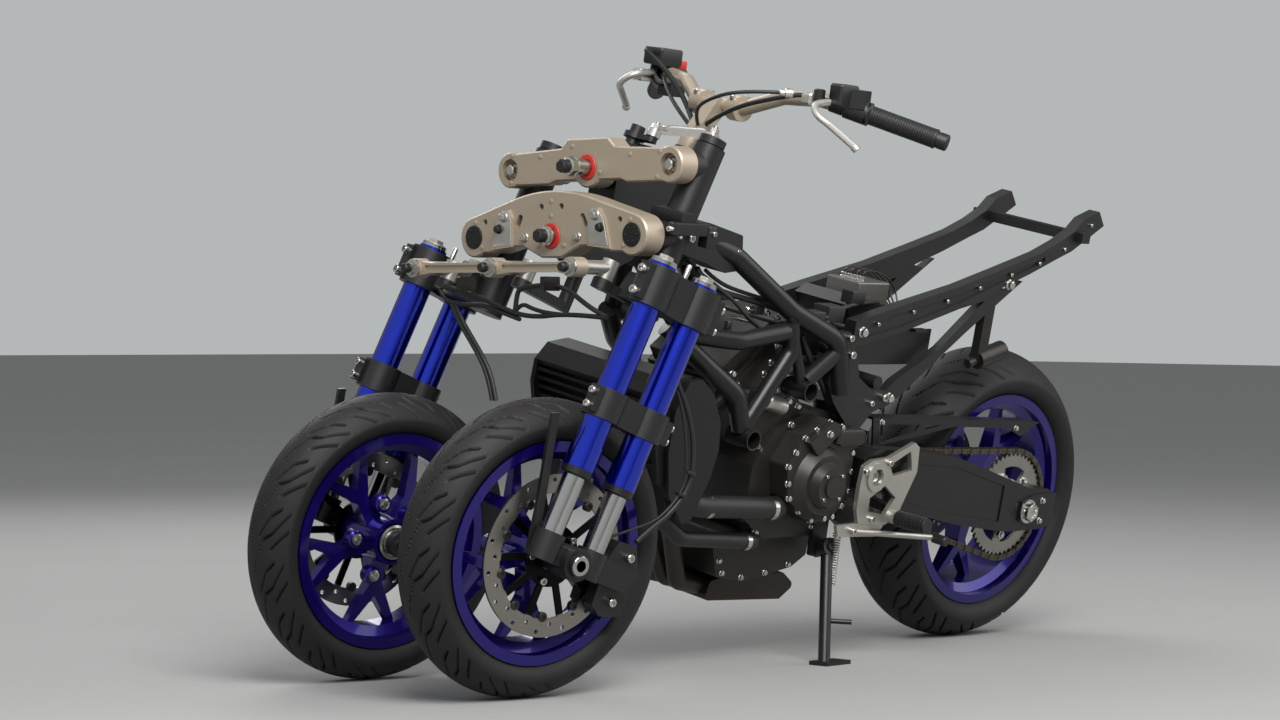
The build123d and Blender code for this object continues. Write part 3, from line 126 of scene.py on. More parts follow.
def finish(name, colour, rough, metal=0.0, drift=0.12, blotch=9.0, grain=500.0, lift=0.05, dust=0.0, **sockets):
    """A finish whose colour drifts over a broad noise; a fine noise shades its roughness and lifts it.
    Dust settles where the surface faces up."""
    material = bpy.data.materials.new(name)
    material.use_nodes = True
    nt = material.node_tree
    shader = nt.nodes["Principled BSDF"]
    shader.inputs["Metallic"].default_value = metal
    for socket, value in sockets.items():
        shader.inputs[socket.replace("_", " ")].default_value = value
    place = node(nt, "TexCoord").outputs["Object"]
    broad = node(nt, "TexNoise", (("Vector", place), ("Scale", blotch), ("Detail", 5))).outputs["Fac"]
    fine = node(nt, "TexNoise", (("Vector", place), ("Scale", grain), ("Detail", 3))).outputs["Fac"]
    dark, light = (tuple(min(v * share, 1) for v in linear(colour)[:3]) + (1,) for share in (1 - drift, 1 + drift))
    shade = mix(nt, broad, dark, light)
    if dust:
        facing = node(nt, "SeparateXYZ", ((0, node(nt, "NewGeometry").outputs["Normal"]),)).outputs["Z"]
        settled = node(nt, "MapRange", (("Value", facing), ("From Min", 0.1), ("To Max", dust))).outputs[0]
        shade = mix(nt, settled, shade, linear((120, 112, 100)))
    nt.links.new(shade, shader.inputs["Base Color"])
    worn = node(nt, "MapRange", (("Value", fine), ("To Min", rough * 0.8), ("To Max", min(rough * 1.2, 1))))
    nt.links.new(worn.outputs[0], shader.inputs["Roughness"])
    if lift:
        bump = node(nt, "Bump", (("Height", fine), ("Strength", lift), ("Distance", 0.001)))
        nt.links.new(bump.outputs[0], shader.inputs["Normal"])
    return material


floor_mesh = bpy.data.meshes.new("floor")
floor_mesh.from_pydata([(x * FLOOR_REACH, y * FLOOR_REACH, 0) for x, y in ((-1, -1), (1, -1), (1, 1), (-1, 1))], [],
                       [(0, 1, 2, 3)])
floor_mesh.materials.append(finish("floor_grey", (150, 150, 148), 0.9, drift=0.04, blotch=2.0, grain=60))
floor = bpy.data.objects.new("floor", floor_mesh)
bpy.context.collection.objects.link(floor)

# ---------------- tyres
# Radial tyres of moulded black rubber, seated on the beads of their rims, with long swept grooves over the crown.
# The section is carried round the axle and sunk at the grooves, and the sidewalls bow out past the rim's flanges.
TREAD_DEPTH, WALL, LIP = 6.0, 11.0, 15.0
CLEAR = 9.0                                             # a groove's distance where there is none, in its own widths
FRONT_TYRE = (274.0, 119.5, 234.0, 191.0, 89.0, 16, 900)    # radius, width, shoulder, bead, rim width, repeats, steps
REAR_TYRE = (320.0, 189.0, 268.0, 218.0, 140.0, 17, 960)
GROOVES = (((0.04, 0.30, 0.52, 0.90), (0.0, 0.62, 0.74, 1.22)),     # shares of the half crown, turns of a repeat
           ((0.16, 0.42, 0.66), (0.62, 1.06, 1.24)),
           ((0.48, 0.62, 0.95), (0.42, 0.56, 0.86)))
rubber = finish("tyre_rubber", (23, 22, 22), 0.62, drift=0.22, blotch=14, grain=900, lift=0.25, dust=0.03,
                Specular_IOR_Level=0.35)


def unit(v):
    """A direction, one long."""
    return np.asarray(v, float) / np.linalg.norm(v)


def joint_at(name):
    """A joint's place, in metres."""
    return np.asarray(joints[name]["pos_m"], float)


def joint_axis(name):
    """A joint's direction, one long."""
    return unit(joints[name]["axis"])


def put(place, points):
    """Points in an assembly's own millimetres, as places in metres; a place is an origin and three directions."""
    return place[0] + np.asarray(points, float) * 0.001 @ place[1:]


# Each assembly has its own axes: x ahead, y to the left (outwards on a fork), z up along its lean and steer.
straight, steered, steer_up = joint_axis("rear_wheel_spin"), joint_axis("left_wheel_spin"), joint_axis("steer")
fork_x, rear_x = np.cross(steered, steer_up), np.cross(straight, steer_up)
LEFT_FORK = np.vstack([joint_at("left_wheel_spin"), fork_x, steered, steer_up])
RIGHT_FORK = np.vstack([joint_at("right_wheel_spin"), fork_x, -steered, steer_up])
REAR_WHEEL = np.vstack([joint_at("rear_wheel_spin"), rear_x, straight, steer_up])
FORKS = (("left", LEFT_FORK), ("right", RIGHT_FORK))


def grid_faces(rows, cols, wrap_rows, wrap_cols, first):
    """Quads between neighbouring rows and columns of a grid, going round where it is closed."""
    r, c = np.meshgrid(np.arange(rows if wrap_rows else rows - 1), np.arange(cols if wrap_cols else cols - 1),
                       indexing="ij")
    r1, c1 = (r + 1) % rows, (c + 1) % cols
    return np.stack([r * cols + c, r * cols + c1, r1 * cols + c1, r1 * cols + c], -1).reshape(-1, 4) + first


def piece(name, grids, material, body, sharp=32.0, replaces=(), near=None):
    """One welded mesh from grids of places, each given as (points, closed along rows, closed along columns)."""
    points, faces, count = [], [], 0
    for grid, wrap_rows, wrap_cols in grids:
        faces.append(grid_faces(*grid.shape[:2], wrap_rows, wrap_cols, count))
        points.append(grid.reshape(-1, 3))
        count += len(points[-1])
    faces = np.concatenate(faces)
    mesh = bpy.data.meshes.new(name)
    mesh.vertices.add(count)
    mesh.vertices.foreach_set("co", np.concatenate(points).ravel())
    mesh.loops.add(faces.size)
    mesh.loops.foreach_set("vertex_index", faces.ravel().astype(np.int32))
    mesh.polygons.add(len(faces))
    mesh.polygons.foreach_set("loop_start", np.arange(0, faces.size, 4, dtype=np.int32))
    mesh.update(calc_edges=True)
    # Where given, each point's distance from a groove is kept on the mesh; the tyre rubber reads it to paint shade
    # into the grooves.
    if near is not None:
        mesh.attributes.new("groove", "FLOAT", "POINT").data.foreach_set("value", near.ravel().astype(np.float32))
    work = bmesh.new()
    work.from_mesh(mesh)
    bmesh.ops.remove_doubles(work, verts=work.verts, dist=2e-6)
    bmesh.ops.dissolve_degenerate(work, dist=1e-7, edges=work.edges)
    bmesh.ops.recalc_face_normals(work, faces=work.faces)
    work.to_mesh(mesh)
    work.free()
    mesh.shade_smooth()
    mesh.set_sharp_from_angle(angle=math.radians(sharp))
    mesh.materials.append(material)
    obj = bpy.data.objects.new(name, mesh)
    bpy.context.collection.objects.link(obj)
    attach(obj, body)
    if replaces:
        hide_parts(*replaces)
    return obj


def arc_through(a, b, bow, n):
    """n points on the circle from a to b that stands out to the left of that line by bow."""
    a, b = np.asarray(a, float), np.asarray(b, float)
    half = np.linalg.norm(b - a) / 2
    out = np.array([-(b - a)[1], (b - a)[0]]) / (2 * half)
    radius = (half ** 2 + bow ** 2) / (2 * bow)
    centre = (a + b) / 2 + out * (bow - radius)
    turn = math.asin(min(half / radius, 1))
    t = np.linspace(-turn, turn, n)[:, None]
    return centre + radius * (np.cos(t) * out + np.sin(t) * (b - a) / (2 * half))


def tread(across, along):
    """Groove depth from 0 to 1 over the crown, and distance from a groove's middle in its own widths.
    Across is -1 to 1 over the crown, along is turns of one repeat. Each groove's middle is a bent line, its depth
    falls off with the distance from that line and at its ends, and each side is half a repeat on."""
    depth, line = np.zeros_like(across), np.full_like(across, CLEAR)
    a = np.abs(across)
    turn = along + np.where(across > 0, 0.5, 0.0)
    width = 0.013 + 0.009 * a
    for outs, turns in GROOVES:
        off = np.abs((turn - np.interp(a, outs, turns) + 0.5) % 1 - 0.5) / width
        fade = np.clip((a - outs[0]) / 0.04, 0, 1) * np.clip((outs[-1] - a) / 0.05, 0, 1)
        depth = np.maximum(depth, np.clip(2.2 - off, 0, 1) * fade)
        line = np.minimum(line, off + 6 * (1 - fade))
    return depth, line


def tyre(place, radius, width, shoulder, bead, rim_w, repeats, around):
    """The tyre's closed section carried round the axle as one grid, with each point's distance from a groove."""
    half, rim, foot = width / 2, rim_w / 2, bead + 1
    side = arc_through((rim, bead + LIP), (half, shoulder), -(half - rim) * 0.34, 9)
    crown = arc_through((half, shoulder), (-half, shoulder), -(radius - shoulder), 73)
    inner = arc_through((WALL - half, shoulder), (half - WALL, shoulder), radius - shoulder - WALL, 7)
    section = np.vstack([side[:-1], crown, (side[::-1] * (-1, 1))[1:], [(0.5 - rim, foot), (10 - rim, foot)], inner,
                         [(rim - 10, foot), (rim - 0.5, foot)]])
    turn = np.linspace(0, 2 * math.pi, around, endpoint=False)[:, None]
    t = np.linspace(-1, 1, len(crown))[None]
    sunk, line = tread(np.repeat(t, around, 0), turn / (2 * math.pi) * repeats + t * 0)
    on_crown = slice(len(side) - 1, len(side) - 1 + len(crown))
    reach, near = np.repeat(section[:, 1][None], around, 0), np.full((around, len(section)), CLEAR)
    reach[:, on_crown] -= TREAD_DEPTH * sunk
    near[:, on_crown] = line
    y = np.repeat(section[:, 0][None], around, 0)
    return (put(place, np.stack([np.cos(turn) * reach, y, np.sin(turn) * reach], -1)), True, True), near


# Painted shade keeps the bottom of the grooves black: within one and a half groove widths of a groove's middle the
# rubber is darkened to near black.
tree = rubber.node_tree
base_colour = tree.nodes["Principled BSDF"].inputs["Base Color"]
groove = node(tree, "Attribute", attribute_name="groove")
edge = node(tree, "MapRange", (("Value", groove.outputs["Fac"]), ("From Min", 1.5), ("From Max", 2.1)))
tree.links.new(mix(tree, edge.outputs[0], (0.0012, 0.0012, 0.0012, 1), base_colour.links[0].from_socket), base_colour)
for side, place, sizes in (("left", LEFT_FORK, FRONT_TYRE), ("right", RIGHT_FORK, FRONT_TYRE),
                           ("rear", REAR_WHEEL, REAR_TYRE)):
    grid, near = tyre(place, *sizes)
    piece(side + "_tyre_tread", [grid], rubber, side + "_wheel", 40, (side + "_tyre",), near)

# ---------------- wheels
# Cast aluminium wheels of forked spokes, in a deep violet-blue gloss over bare metal.
# Bright hexagon nuts close the hollow front axles, and capped nuts sit on the bosses between the spokes.
violet = finish("wheel_violet", (26, 10, 108), 0.26, 0.7, drift=0.2, blotch=6, grain=1200, lift=0.02,
                Coat_Weight=0.5, Coat_Roughness=0.06)
bright = finish("bright_steel", (196, 194, 188), 0.26, 1.0, drift=0.1, blotch=60, grain=900, lift=0.04)


def coat(material, *names):
    """Gives CAD nodes one finish."""
    for name in names:
        nodes[name].data.materials.clear()
        nodes[name].data.materials.append(material)


def across_axis(axis):
    """Two directions square to an axis."""
    axis = unit(axis)
    spare = np.array([0, 0, 1.0]) if abs(axis[2]) < 0.9 else np.array([1.0, 0, 0])
    u = unit(np.cross(spare, axis))
    return u, np.cross(axis, u)


def turned(place, at, axis, rows, n=24):
    """Rows of (radius, height, flat) carried round an axis; flat 1 makes the row a hexagon of that half-width."""
    rows = np.asarray([tuple(r) + (0.0,) * (3 - len(r)) for r in rows], float)
    t = np.linspace(0, 2 * math.pi, n, endpoint=False)
    six = 1 / np.cos((t + math.pi / 6) % (math.pi / 3) - math.pi / 6)
    reach = rows[:, :1] * (1 + rows[:, 2:3] * (six[None] - 1))
    u, v = across_axis(axis)
    p = (np.asarray(at, float) + rows[:, 1][:, None, None] * unit(axis) +
         reach[..., None] * (np.cos(t)[None, :, None] * u + np.sin(t)[None, :, None] * v))
    return put(place, p), False, True


def ring_of(n, radius, y, start=0.0):
    """n places on a circle round a wheel's axle."""
    a = np.radians(start) + np.arange(n) * 2 * math.pi / n
    return [(radius * math.cos(t), y, radius * math.sin(t)) for t in a]


# Profiles are rows of radius and height; a 1 after them makes the row a hexagon.
AXLE_WASHER = [(0, 0), (33, 0), (33, 3), (29, 5), (27, 1), (23, 1), (22, 6), (18, 7), (0, 7)]
AXLE_NUT = [(0, 0), (20, 0), (20, 3), (17, 3, 1), (17, 13, 1), (14, 15), (9, 15), (9, 24), (6, 25), (6, 4), (0, 4)]
BOSS = [(0, -8), (17, -8), (17, 10), (14, 12), (0, 12)]
BOSS_NUT = [(0, 0), (11, 0), (11, 3), (8, 4), (7, 3), (5, 3, 1), (5, 7, 1), (0, 7)]
BOSSES = ring_of(5, 72, 0, 54)
coat(violet, "left_rim", "right_rim", "rear_rim")
for side, place in FORKS:
    axle_nut = [turned(place, (0, -54, 0), (0, -1, 0), AXLE_WASHER, 40),
                turned(place, (0, -61, 0), (0, -1, 0), AXLE_NUT, 36)]
    bosses = [turned(place, (x, -24, z), (0, -1, 0), BOSS) for x, _, z in BOSSES]
    nuts = [turned(place, (x, -36, z), (0, -1, 0), BOSS_NUT) for x, _, z in BOSSES]
    piece(side + "_axle_nut", axle_nut, bright, side + "_fork")
    piece(side + "_wheel_bosses", bosses, violet, side + "_wheel")
    piece(side + "_boss_nuts", nuts, bright, side + "_wheel")

# ---------------- brake discs
# Stainless bands floated on bobbins round black carriers, bolted to the wheels.
# The bands are ground across their face and wiped in rings by the pads.
FRONT_DISC_Y, REAR_DISC_Y = 62, -96
FRONT_BAND_FROM, REAR_BAND_FROM = 0.113, 0.105
dark_steel = finish("dark_steel", (64, 62, 60), 0.4, 0.9, drift=0.2, blotch=40, grain=700, lift=0.05)


def disc_finish(name, axes, centre, band_from):
    """Ground steel outside one radius and black inside it, measured from the axle in Object coordinates."""
    material = finish(name, (150, 146, 138), 0.34, 1.0, drift=0.1, blotch=30, grain=1600, lift=0.04)
    nt = material.node_tree
    turn = Matrix(axes.tolist())
    own = node(nt, "Mapping", (("Vector", node(nt, "TexCoord").outputs["Object"]), ("Rotation", turn.to_euler()),
                               ("Location", -(turn @ Vector(centre))))).outputs[0]
    flat = node(nt, "VectorMath", ((0, own), (1, (1, 0, 1))), operation="MULTIPLY").outputs[0]
    from_axle = node(nt, "VectorMath", ((0, flat),), operation="LENGTH").outputs["Value"]
    outside = node(nt, "Math", ((0, from_axle), (1, band_from)), operation="GREATER_THAN").outputs[0]
    rings = node(nt, "TexNoise", (("W", from_axle), ("Scale", 900.0), ("Detail", 4.0)), noise_dimensions="1D")
    steel = mix(nt, rings.outputs["Fac"], linear((104, 100, 92)), linear((176, 172, 164)))
    nt.links.new(mix(nt, outside, linear((26, 26, 27)), steel), nt.nodes["Principled BSDF"].inputs["Base Color"])
    return material


def socket_bolt(place, at, axis, s):
    """Round head with a hexagon socket; s is the head's radius."""
    return turned(place, at, axis, [(0, -2), (s, -2), (s, 1.05 * s), (0.88 * s, 1.2 * s), (0.55 * s, 1.2 * s, 1),
                                    (0.5 * s, 0.5 * s, 1), (0, 0.45 * s)], 18)


for side, place in FORKS:
    steel = disc_finish(side + "_disc_steel", LEFT_FORK[1:], put(place, (0, FRONT_DISC_Y, 0)), FRONT_BAND_FROM)
    coat(steel, side + "_disc")
    bobbins = [turned(place, p, (0, 1, 0), [(0, -5), (9, -5), (9, 4), (7.5, 5), (4, 5), (3.6, 3), (0, 3)], 20)
               for p in ring_of(10, 112, FRONT_DISC_Y)]
    bolts = [socket_bolt(place, p, (0, 1, 0), 7) for p in ring_of(5, 48, FRONT_DISC_Y + 2.4, 54)]
    piece(side + "_disc_bobbins", bobbins, dark_steel, side + "_wheel")
    piece(side + "_disc_bolts", bolts, bright, side + "_wheel")
steel = disc_finish("rear_disc_steel", REAR_WHEEL[1:], put(REAR_WHEEL, (0, REAR_DISC_Y, 0)), REAR_BAND_FROM)
coat(steel, "rear_disc")
piece("rear_disc_bolts", [socket_bolt(REAR_WHEEL, p, (0, -1, 0), 7) for p in ring_of(6, 62, REAR_DISC_Y - 2.4, 30)],
      bright, "rear_wheel")

# ---------------- forks
# Twin blue anodised outer tubes over polished stanchions on the outer side of each wheel, in two black painted
# clamps with bright pinch bolts; the axle goes through the carrier at their feet.
# The brake hose and the wheel sensor's lead come down behind the tubes, where two clips hold them.
TUBES, TUBE_SIDE = (61.65, -43.35), 112.0
TUBE_TOP, TUBE_FOOT, YOKE_TOP = 555, 150, 542
PINCH = ((483, 108, -88, 8), (524, 108, -88, 8),        # height, front face, rear face, head radius
         (266, 106, -86, 7), (292, 106, -86, 7))
CALIPER_BOLTS = ((-140, 52), (-140, -34))
TUBE_CAP = [(0, -1), (23, -1), (23, 2), (20, 3), (13, 3), (13, 4, 1), (12.5, 10, 1), (8, 10), (7, 7), (0, 7)]
FORK_SEAL = [(21.1, -8), (25, -8), (28.5, -5), (28.5, 16), (27.2, 18), (21.1, 18)]
STUD = [(0, -4), (5, -4), (5, 26), (4, 28), (0, 28)]
HOSE_CLIPS = ((-219, 240), (-218, 197))
HOSE = [(-96, 84, 378), (-132, 84, 353), (-168, 84, 319), (-196, 84, 281), (-214, 84, 241), (-218, 84, 214),
        (-213, 84, 186), (-200, 84, 156), (-184, 86, 135), (-163, 88, 108), (-146, 92, 84)]
SENSOR_LEAD = [(-105, 86, 362), (-134, 86, 335), (-168, 86, 290), (-188, 86, 256), (-203, 86, 227), (-204, 86, 197),
               (-194, 86, 166), (-172, 86, 130), (-120, 88, 96), (-70, 90, 60)]
blue = finish("fork_blue", (6, 40, 186), 0.24, 1.0, drift=0.1, blotch=5, grain=1500, lift=0.0, Coat_Weight=0.8,
              Coat_Roughness=0.08)
chrome = finish("stanchion_steel", (176, 176, 174), 0.14, 1.0, drift=0.05, blotch=40, grain=1500, lift=0.02)
black_cast = finish("black_cast", (21, 21, 22), 0.42, 0.1, drift=0.2, blotch=20, grain=900, lift=0.12, dust=0.05)
black_satin = finish("black_satin", (19, 19, 20), 0.36, 0.2, drift=0.15, blotch=18, grain=900, lift=0.06, dust=0.04)
black_rubber = finish("black_rubber", (20, 20, 20), 0.5, drift=0.2, blotch=30, grain=900, lift=0.08)
cast_alloy = finish("cast_alloy", (176, 173, 165), 0.36, 0.85, drift=0.12, blotch=25, grain=900, lift=0.12)


def box(place, low, high, edge=1.5):
    """A block between two corners as rings from its foot to its top, its edges broken by a small flat."""
    low, high = np.asarray(low, float), np.asarray(high, float)
    e = min(edge, *(abs(high - low) / 3))
    x0, y0, z0 = low
    x1, y1, z1 = high
    ring = np.array([(x0 + e, y0), (x1 - e, y0), (x1, y0 + e), (x1, y1 - e), (x1 - e, y1), (x0 + e, y1), (x0, y1 - e),
                     (x0, y0 + e)])
    middle, inset = (low[:2] + high[:2]) / 2, 1 - e / min(x1 - x0, y1 - y0)
    rows = [np.column_stack([middle + (ring - middle) * share, np.full(8, z)]) for z, share in
            ((z0, 0), (z0, inset), (z0 + e, 1), (z1 - e, 1), (z1, inset), (z1, 0))]
    return put(place, np.array(rows)), False, True


def cables(name, place, routes, material, body):
    """Clipped lines: one smooth curve through each route's points, with the radius that is given first."""
    curve = bpy.data.curves.new(name, "CURVE")
    curve.dimensions, curve.resolution_u, curve.bevel_resolution = "3D", 6, 3
    curve.bevel_depth, curve.use_fill_caps = 0.001, True
    for radius, points in routes:
        spline = curve.splines.new("NURBS")
        where = put(place, points)
        spline.points.add(len(where) - 1)
        for p, co in zip(spline.points, where):
            p.co, p.radius = (*co, 1), radius
        spline.order_u, spline.use_endpoint_u = 3, True
    curve.materials.append(material)
    obj = bpy.data.objects.new(name, curve)
    bpy.context.collection.objects.link(obj)
    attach(obj, body)
    return obj


for side, place in FORKS:
    body = side + "_fork"
    coat(blue, side + "_fork_tubes")
    coat(chrome, side + "_stanchions")
    coat(black_cast, side + "_yoke", side + "_axle_carrier")
    caps = [turned(place, (x, TUBE_SIDE, TUBE_TOP), (0, 0, 1), TUBE_CAP, 36) for x in TUBES]
    seals = [turned(place, (x, TUBE_SIDE, TUBE_FOOT), (0, 0, 1), FORK_SEAL, 40) for x in TUBES]
    pinch = [socket_bolt(place, (x, 124, z), (math.copysign(1, x), 0.1, 0), s)
             for z, front, rear, s in PINCH for x in (front, rear)]
    pinch.append(turned(place, (9, TUBE_SIDE + 6, YOKE_TOP), (0, 0, 1), STUD, 16))
    pinch += [socket_bolt(place, (x, 97, z), (0, 1, 0), 8) for x, z in CALIPER_BOLTS]
    axle_end = [turned(place, (0, 150, 0), (0, 1, 0), [(10.4, -30), (10.4, 1), (17, 1), (19, -1), (19, -12)], 40),
                turned(place, (-34, 128, 6), (0, 1, 0), [(0, 0), (9, 0), (9, 8), (7, 9), (0, 9)], 20)]
    piece(side + "_fork_caps", caps, cast_alloy, body)
    piece(side + "_fork_seals", seals, black_satin, body)
    piece(side + "_clamp_bolts", pinch, bright, body)
    piece(side + "_axle_end", axle_end, chrome, body)
    start = 0 if side == "left" else 3      # the right pair's upper stretch is the drop that the tie rod carries
    cables(side + "_brake_hose", place, [(4.8, HOSE[start:]), (2.6, SENSOR_LEAD[start:])], black_rubber, body)
    piece(side + "_hose_clips", [box(place, (x, 78, z - 3), (x + 20, 92, z + 3), 1) for x, z in HOSE_CLIPS],
          dark_steel, body)

# ---------------- parallelogram arms
# Two cast arms in a warm grey coat swing on the head's two shafts and carry the side posts at their ends.
# The shafts' bright noses stand out in front with red seals, nuts and caps; a machined plate is let in on each side
# of the lower arm.
ARM_HALF = 205                                          # from the middle shaft to a post's shaft
UPPER_NOSE, LOWER_NOSE = (36, 54, 72), (12, 22, 38)     # where nut, cap and tip are, ahead of the arm's middle
UPPER_MARKS = ((-200, 27), (-124, 23), (-40, 40), (-202, -24), (33, -10), (109, 21), (184, 24), (177, -22))
LOWER_MARKS = ((0, 64), (0, 37), (34, -18), (-34, -18), (201, 27), (184, -19), (-201, 27), (-184, -19))
PLATE = ((101, -16), (101, 33), (107, 48), (125, 48), (139, 27), (150, -19))
END_DISC = [(0, -1), (22, -1), (22, 1.5), (20.5, 2.6), (0, 2.6)]
UPPER_ARM = np.vstack([joint_at("upper_arm_pivot"), np.eye(3)])
LOWER_ARM = np.vstack([joint_at("lean"), np.eye(3)])
warm_grey = finish("champagne_coat", (163, 150, 132), 0.42, 0.45, drift=0.07, blotch=14, grain=1100, lift=0.1)
red_seal = finish("red_seal", (176, 38, 30), 0.5, drift=0.15, blotch=40)
black_cap = finish("black_cap", (18, 18, 18), 0.5, drift=0.2, blotch=60)
machined = finish("machined_plate", (206, 204, 198), 0.3, 0.9, drift=0.06, blotch=30, grain=900, lift=0.04)


def hex_bolt(place, at, axis, s, tall=1.0):
    """Flanged hexagon head; s is half the width across its flats."""
    return turned(place, at, axis, [(0, -2), (1.4 * s, -2), (1.4 * s, 0.2 * s), (1.2 * s, 0.4 * s), (s, 0.4 * s, 1),
                                    (s, (0.4 + 0.8 * tall) * s, 1), (0.8 * s, (0.5 + 0.9 * tall) * s),
                                    (0, (0.5 + 0.9 * tall) * s)])


def nose(place, nut, cap, tip, body):
    """Seal, nut and cap on a lean pivot's shaft; nut, cap and tip are where they are ahead of the arm."""
    thick, long = cap - nut, tip - cap
    seal = [(15.7, 0.3), (22.5, 0.3), (24, 1.5), (22.5, 3), (15.7, 3)]
    hexagon = [(8, 0), (18, 0), (18, 2), (16, 3, 1), (16, thick - 2, 1), (14, thick), (8, thick)]
    shaft = [(14.6, 0.5), (15.3, 0.5), (15.3, nut + 1), (14.6, nut + 1)]
    plug = [(0, -1), (12.5, -1), (12.5, long * 0.4), (11.5, long * 0.45, 1), (11.5, long - 2, 1), (9.5, long),
            (0, long)]
    for part, x, rows, n, material, rides, slot in (
            ("seal", 0, seal, 40, red_seal, body, "rubber"), ("nut", nut, hexagon, 36, bright, "chassis", "steel"),
            ("shaft", 0, shaft, 40, chrome, "chassis", "chrome"),
            ("cap", cap, plug, 30, black_cap, "chassis", "black_plastic")):
        piece(f"{body}_{part}", [turned(place, (x, 0, 0), (1, 0, 0), rows, n)], material, rides)


def mark(place, y, z, r, x=0.0):
    """A low round boss on a cast front face."""
    return turned(place, (x, y, z), (1, 0, 0), [(0, -1), (r, -1), (r, 1), (r * 0.8, 1.5), (0, 1.5)], 16)


coat(warm_grey, "upper_arm", "lower_arm", "tie_rod")
nose(UPPER_ARM, *UPPER_NOSE, "upper_arm")
nose(LOWER_ARM, *LOWER_NOSE, "lower_arm")
piece("upper_arm_marks", [mark(UPPER_ARM, y, z, 4.5) for y, z in UPPER_MARKS], warm_grey, "upper_arm")
piece("lower_arm_marks", [mark(LOWER_ARM, y, z, 4.5) for y, z in LOWER_MARKS], warm_grey, "lower_arm")
ends, discs, lugs, black_bolts = [], [], [], []
for s in (-1, 1):
    ends.append(hex_bolt(UPPER_ARM, (-13, s * ARM_HALF, 0), (1, 0, 0), 9.5, 1.2))
    discs.append(turned(LOWER_ARM, (0, s * ARM_HALF, 0), (1, 0, 0), END_DISC, 40))
    discs += [mark(LOWER_ARM, s * ARM_HALF + y, z, 2, 2.6) for y, _, z in ring_of(6, 14, 0)]
    lugs.append(hex_bolt(LOWER_ARM, (0, s * 68, -2), (1, 0, 0), 6.5, 0.9))
    lugs.append(hex_bolt(LOWER_ARM, (5, s * 119, 36), (1, 0, 0), 7, 1.1))
    black_bolts.append(hex_bolt(LOWER_ARM, (5, s * 132, 14), (1, 0, 0), 6.5, 1.2))
piece("upper_arm_end_bolts", ends, bright, "upper_arm")
piece("lower_arm_end_discs", discs, black_satin, "lower_arm")
piece("lower_arm_bolts", lugs, bright, "lower_arm")
piece("lower_arm_black_bolts", black_bolts, black_cap, "lower_arm")
for s, side in ((1, "left"), (-1, "right")):
    outline = np.array(PLATE, float) * (s, 1)
    middle = outline.mean(0)
    rows = [np.column_stack([np.full(6, x), middle + (outline - middle) * share])
            for x, share in ((4.8, 0), (4.8, 1), (5.6, 1), (6, 0.97), (6, 0))]
    piece(f"lower_arm_{side}_plate", [(put(LOWER_ARM, np.array(rows)), False, True)], machined, "lower_arm",
          25)

# ---------------- tie rod and swivels
# A forged bar of the same warm coat on three swivels; each swivel's nose has a bright washer, a nut and a cap.
# The front loom hangs behind the bar from two clips, and a pair of lines drops from it towards the right brake.
SWIVEL_WASHER = [(8, 0.4), (17.5, 0.4), (17.5, 3), (13, 4), (11.5, 4, 1), (11.5, 12, 1), (8, 13)]
SWIVEL_CAP = [(0, 0), (9.5, 0), (9.5, 8), (8.8, 8), (8.6, 14), (7, 16), (0, 16)]
LOOM_X, LOOM_CLIPS, CLIP_Z = -60, (-128, 92), -42
LOOM = (                                                # radius, places across and up behind the bar
    (4.6, ((-214, -30), (-196, -34), (-171, -38), (-103, -53), (-50, -71), (3, -86), (55, -89), (94, -85), (157, -85),
           (225, -90))),
    (4.2, ((-212, -38), (-204, -52), (-190, -60), (-152, -68), (-103, -66), (-50, -80), (3, -94))),
    (4.6, ((-10, -80), (-6, -48), (3, -37), (55, -31), (93, -31), (137, -44), (157, -58), (200, -80), (225, -88))),
    (4.0, ((-12, -84), (3, -62), (42, -77), (94, -84), (170, -87), (220, -88))))
DROP = ((-180, -66), (-162, -96), (-138, -124), (-102, -166), (-78, -206), (-69, -244))
TIE_ROD = np.vstack([joint_at("tie_rod_pivot"), np.eye(3)])
for s, body in ((1, "left_swivel"), (0, "centre_swivel"), (-1, "right_swivel")):
    washer = turned(TIE_ROD, (15, s * ARM_HALF, 0), (1, 0, 0), SWIVEL_WASHER, 36)
    cap = turned(TIE_ROD, (24, s * ARM_HALF, 0), (1, 0, 0), SWIVEL_CAP, 28)
    piece(body + "_washer", [washer], bright, body)
    piece(body + "_nose", [cap], black_cap, body)
    coat(cast_alloy, body)
cables("front_loom", TIE_ROD, [(r, [(LOOM_X, y, z) for y, z in route]) for r, route in LOOM], black_rubber, "tie_rod")
cables("right_brake_drop", TIE_ROD, [(4.4, [(LOOM_X, y + off, z) for y, z in DROP]) for off in (0, 10)], black_rubber,
       "tie_rod")
clips = [box(TIE_ROD, (LOOM_X - 6, y, CLIP_Z), (-22, y + 9, CLIP_Z + 26), 1) for y in LOOM_CLIPS]
piece("loom_clips", clips, dark_steel, "tie_rod")

# ---------------- side posts, head and frame
# Black painted castings hold the head and the swingarm's pivot; between them run welded steel tubes, also black.
# A machined link takes the steering from the bar forward to the pitman. Bolts are zinc plated.
CASTER, REAR_R = math.radians(20), 320.5
LINK_LONG = 160.2
POST_BOLTS = ((1332, 46, 873, (1, 0), 5.5), (1302, 44, 858, (1, 0), 4.5),   # x, y, z, facing ahead or out, radius
              (1226, 54, 868, (0, 1), 5))
FRAME_BOLTS = ((1100, 84, 872, 8), (962, 84, 846, 8), (648, 150, 660, 8), (690, 150, 668, 7),   # x, y, z, radius
               (524, 150, 572, 8), (600, 150, 350, 7), (560, 150, 560, 6), (660, 150, 694, 7))
SOCKETS, SOCKET_Y = ((922, 496), (776, 590)), 172
SOCKET_RING = [(16.9, -12), (16.9, 0.6), (18, 1.2), (20.4, 1.2), (20.6, 0), (20.6, -3)]
LINK_NUT = [(0, 7.3), (11, 7.3), (11, 9), (8.5, 9, 1), (8.5, 17, 1), (5, 18), (5, 22), (0, 22)]


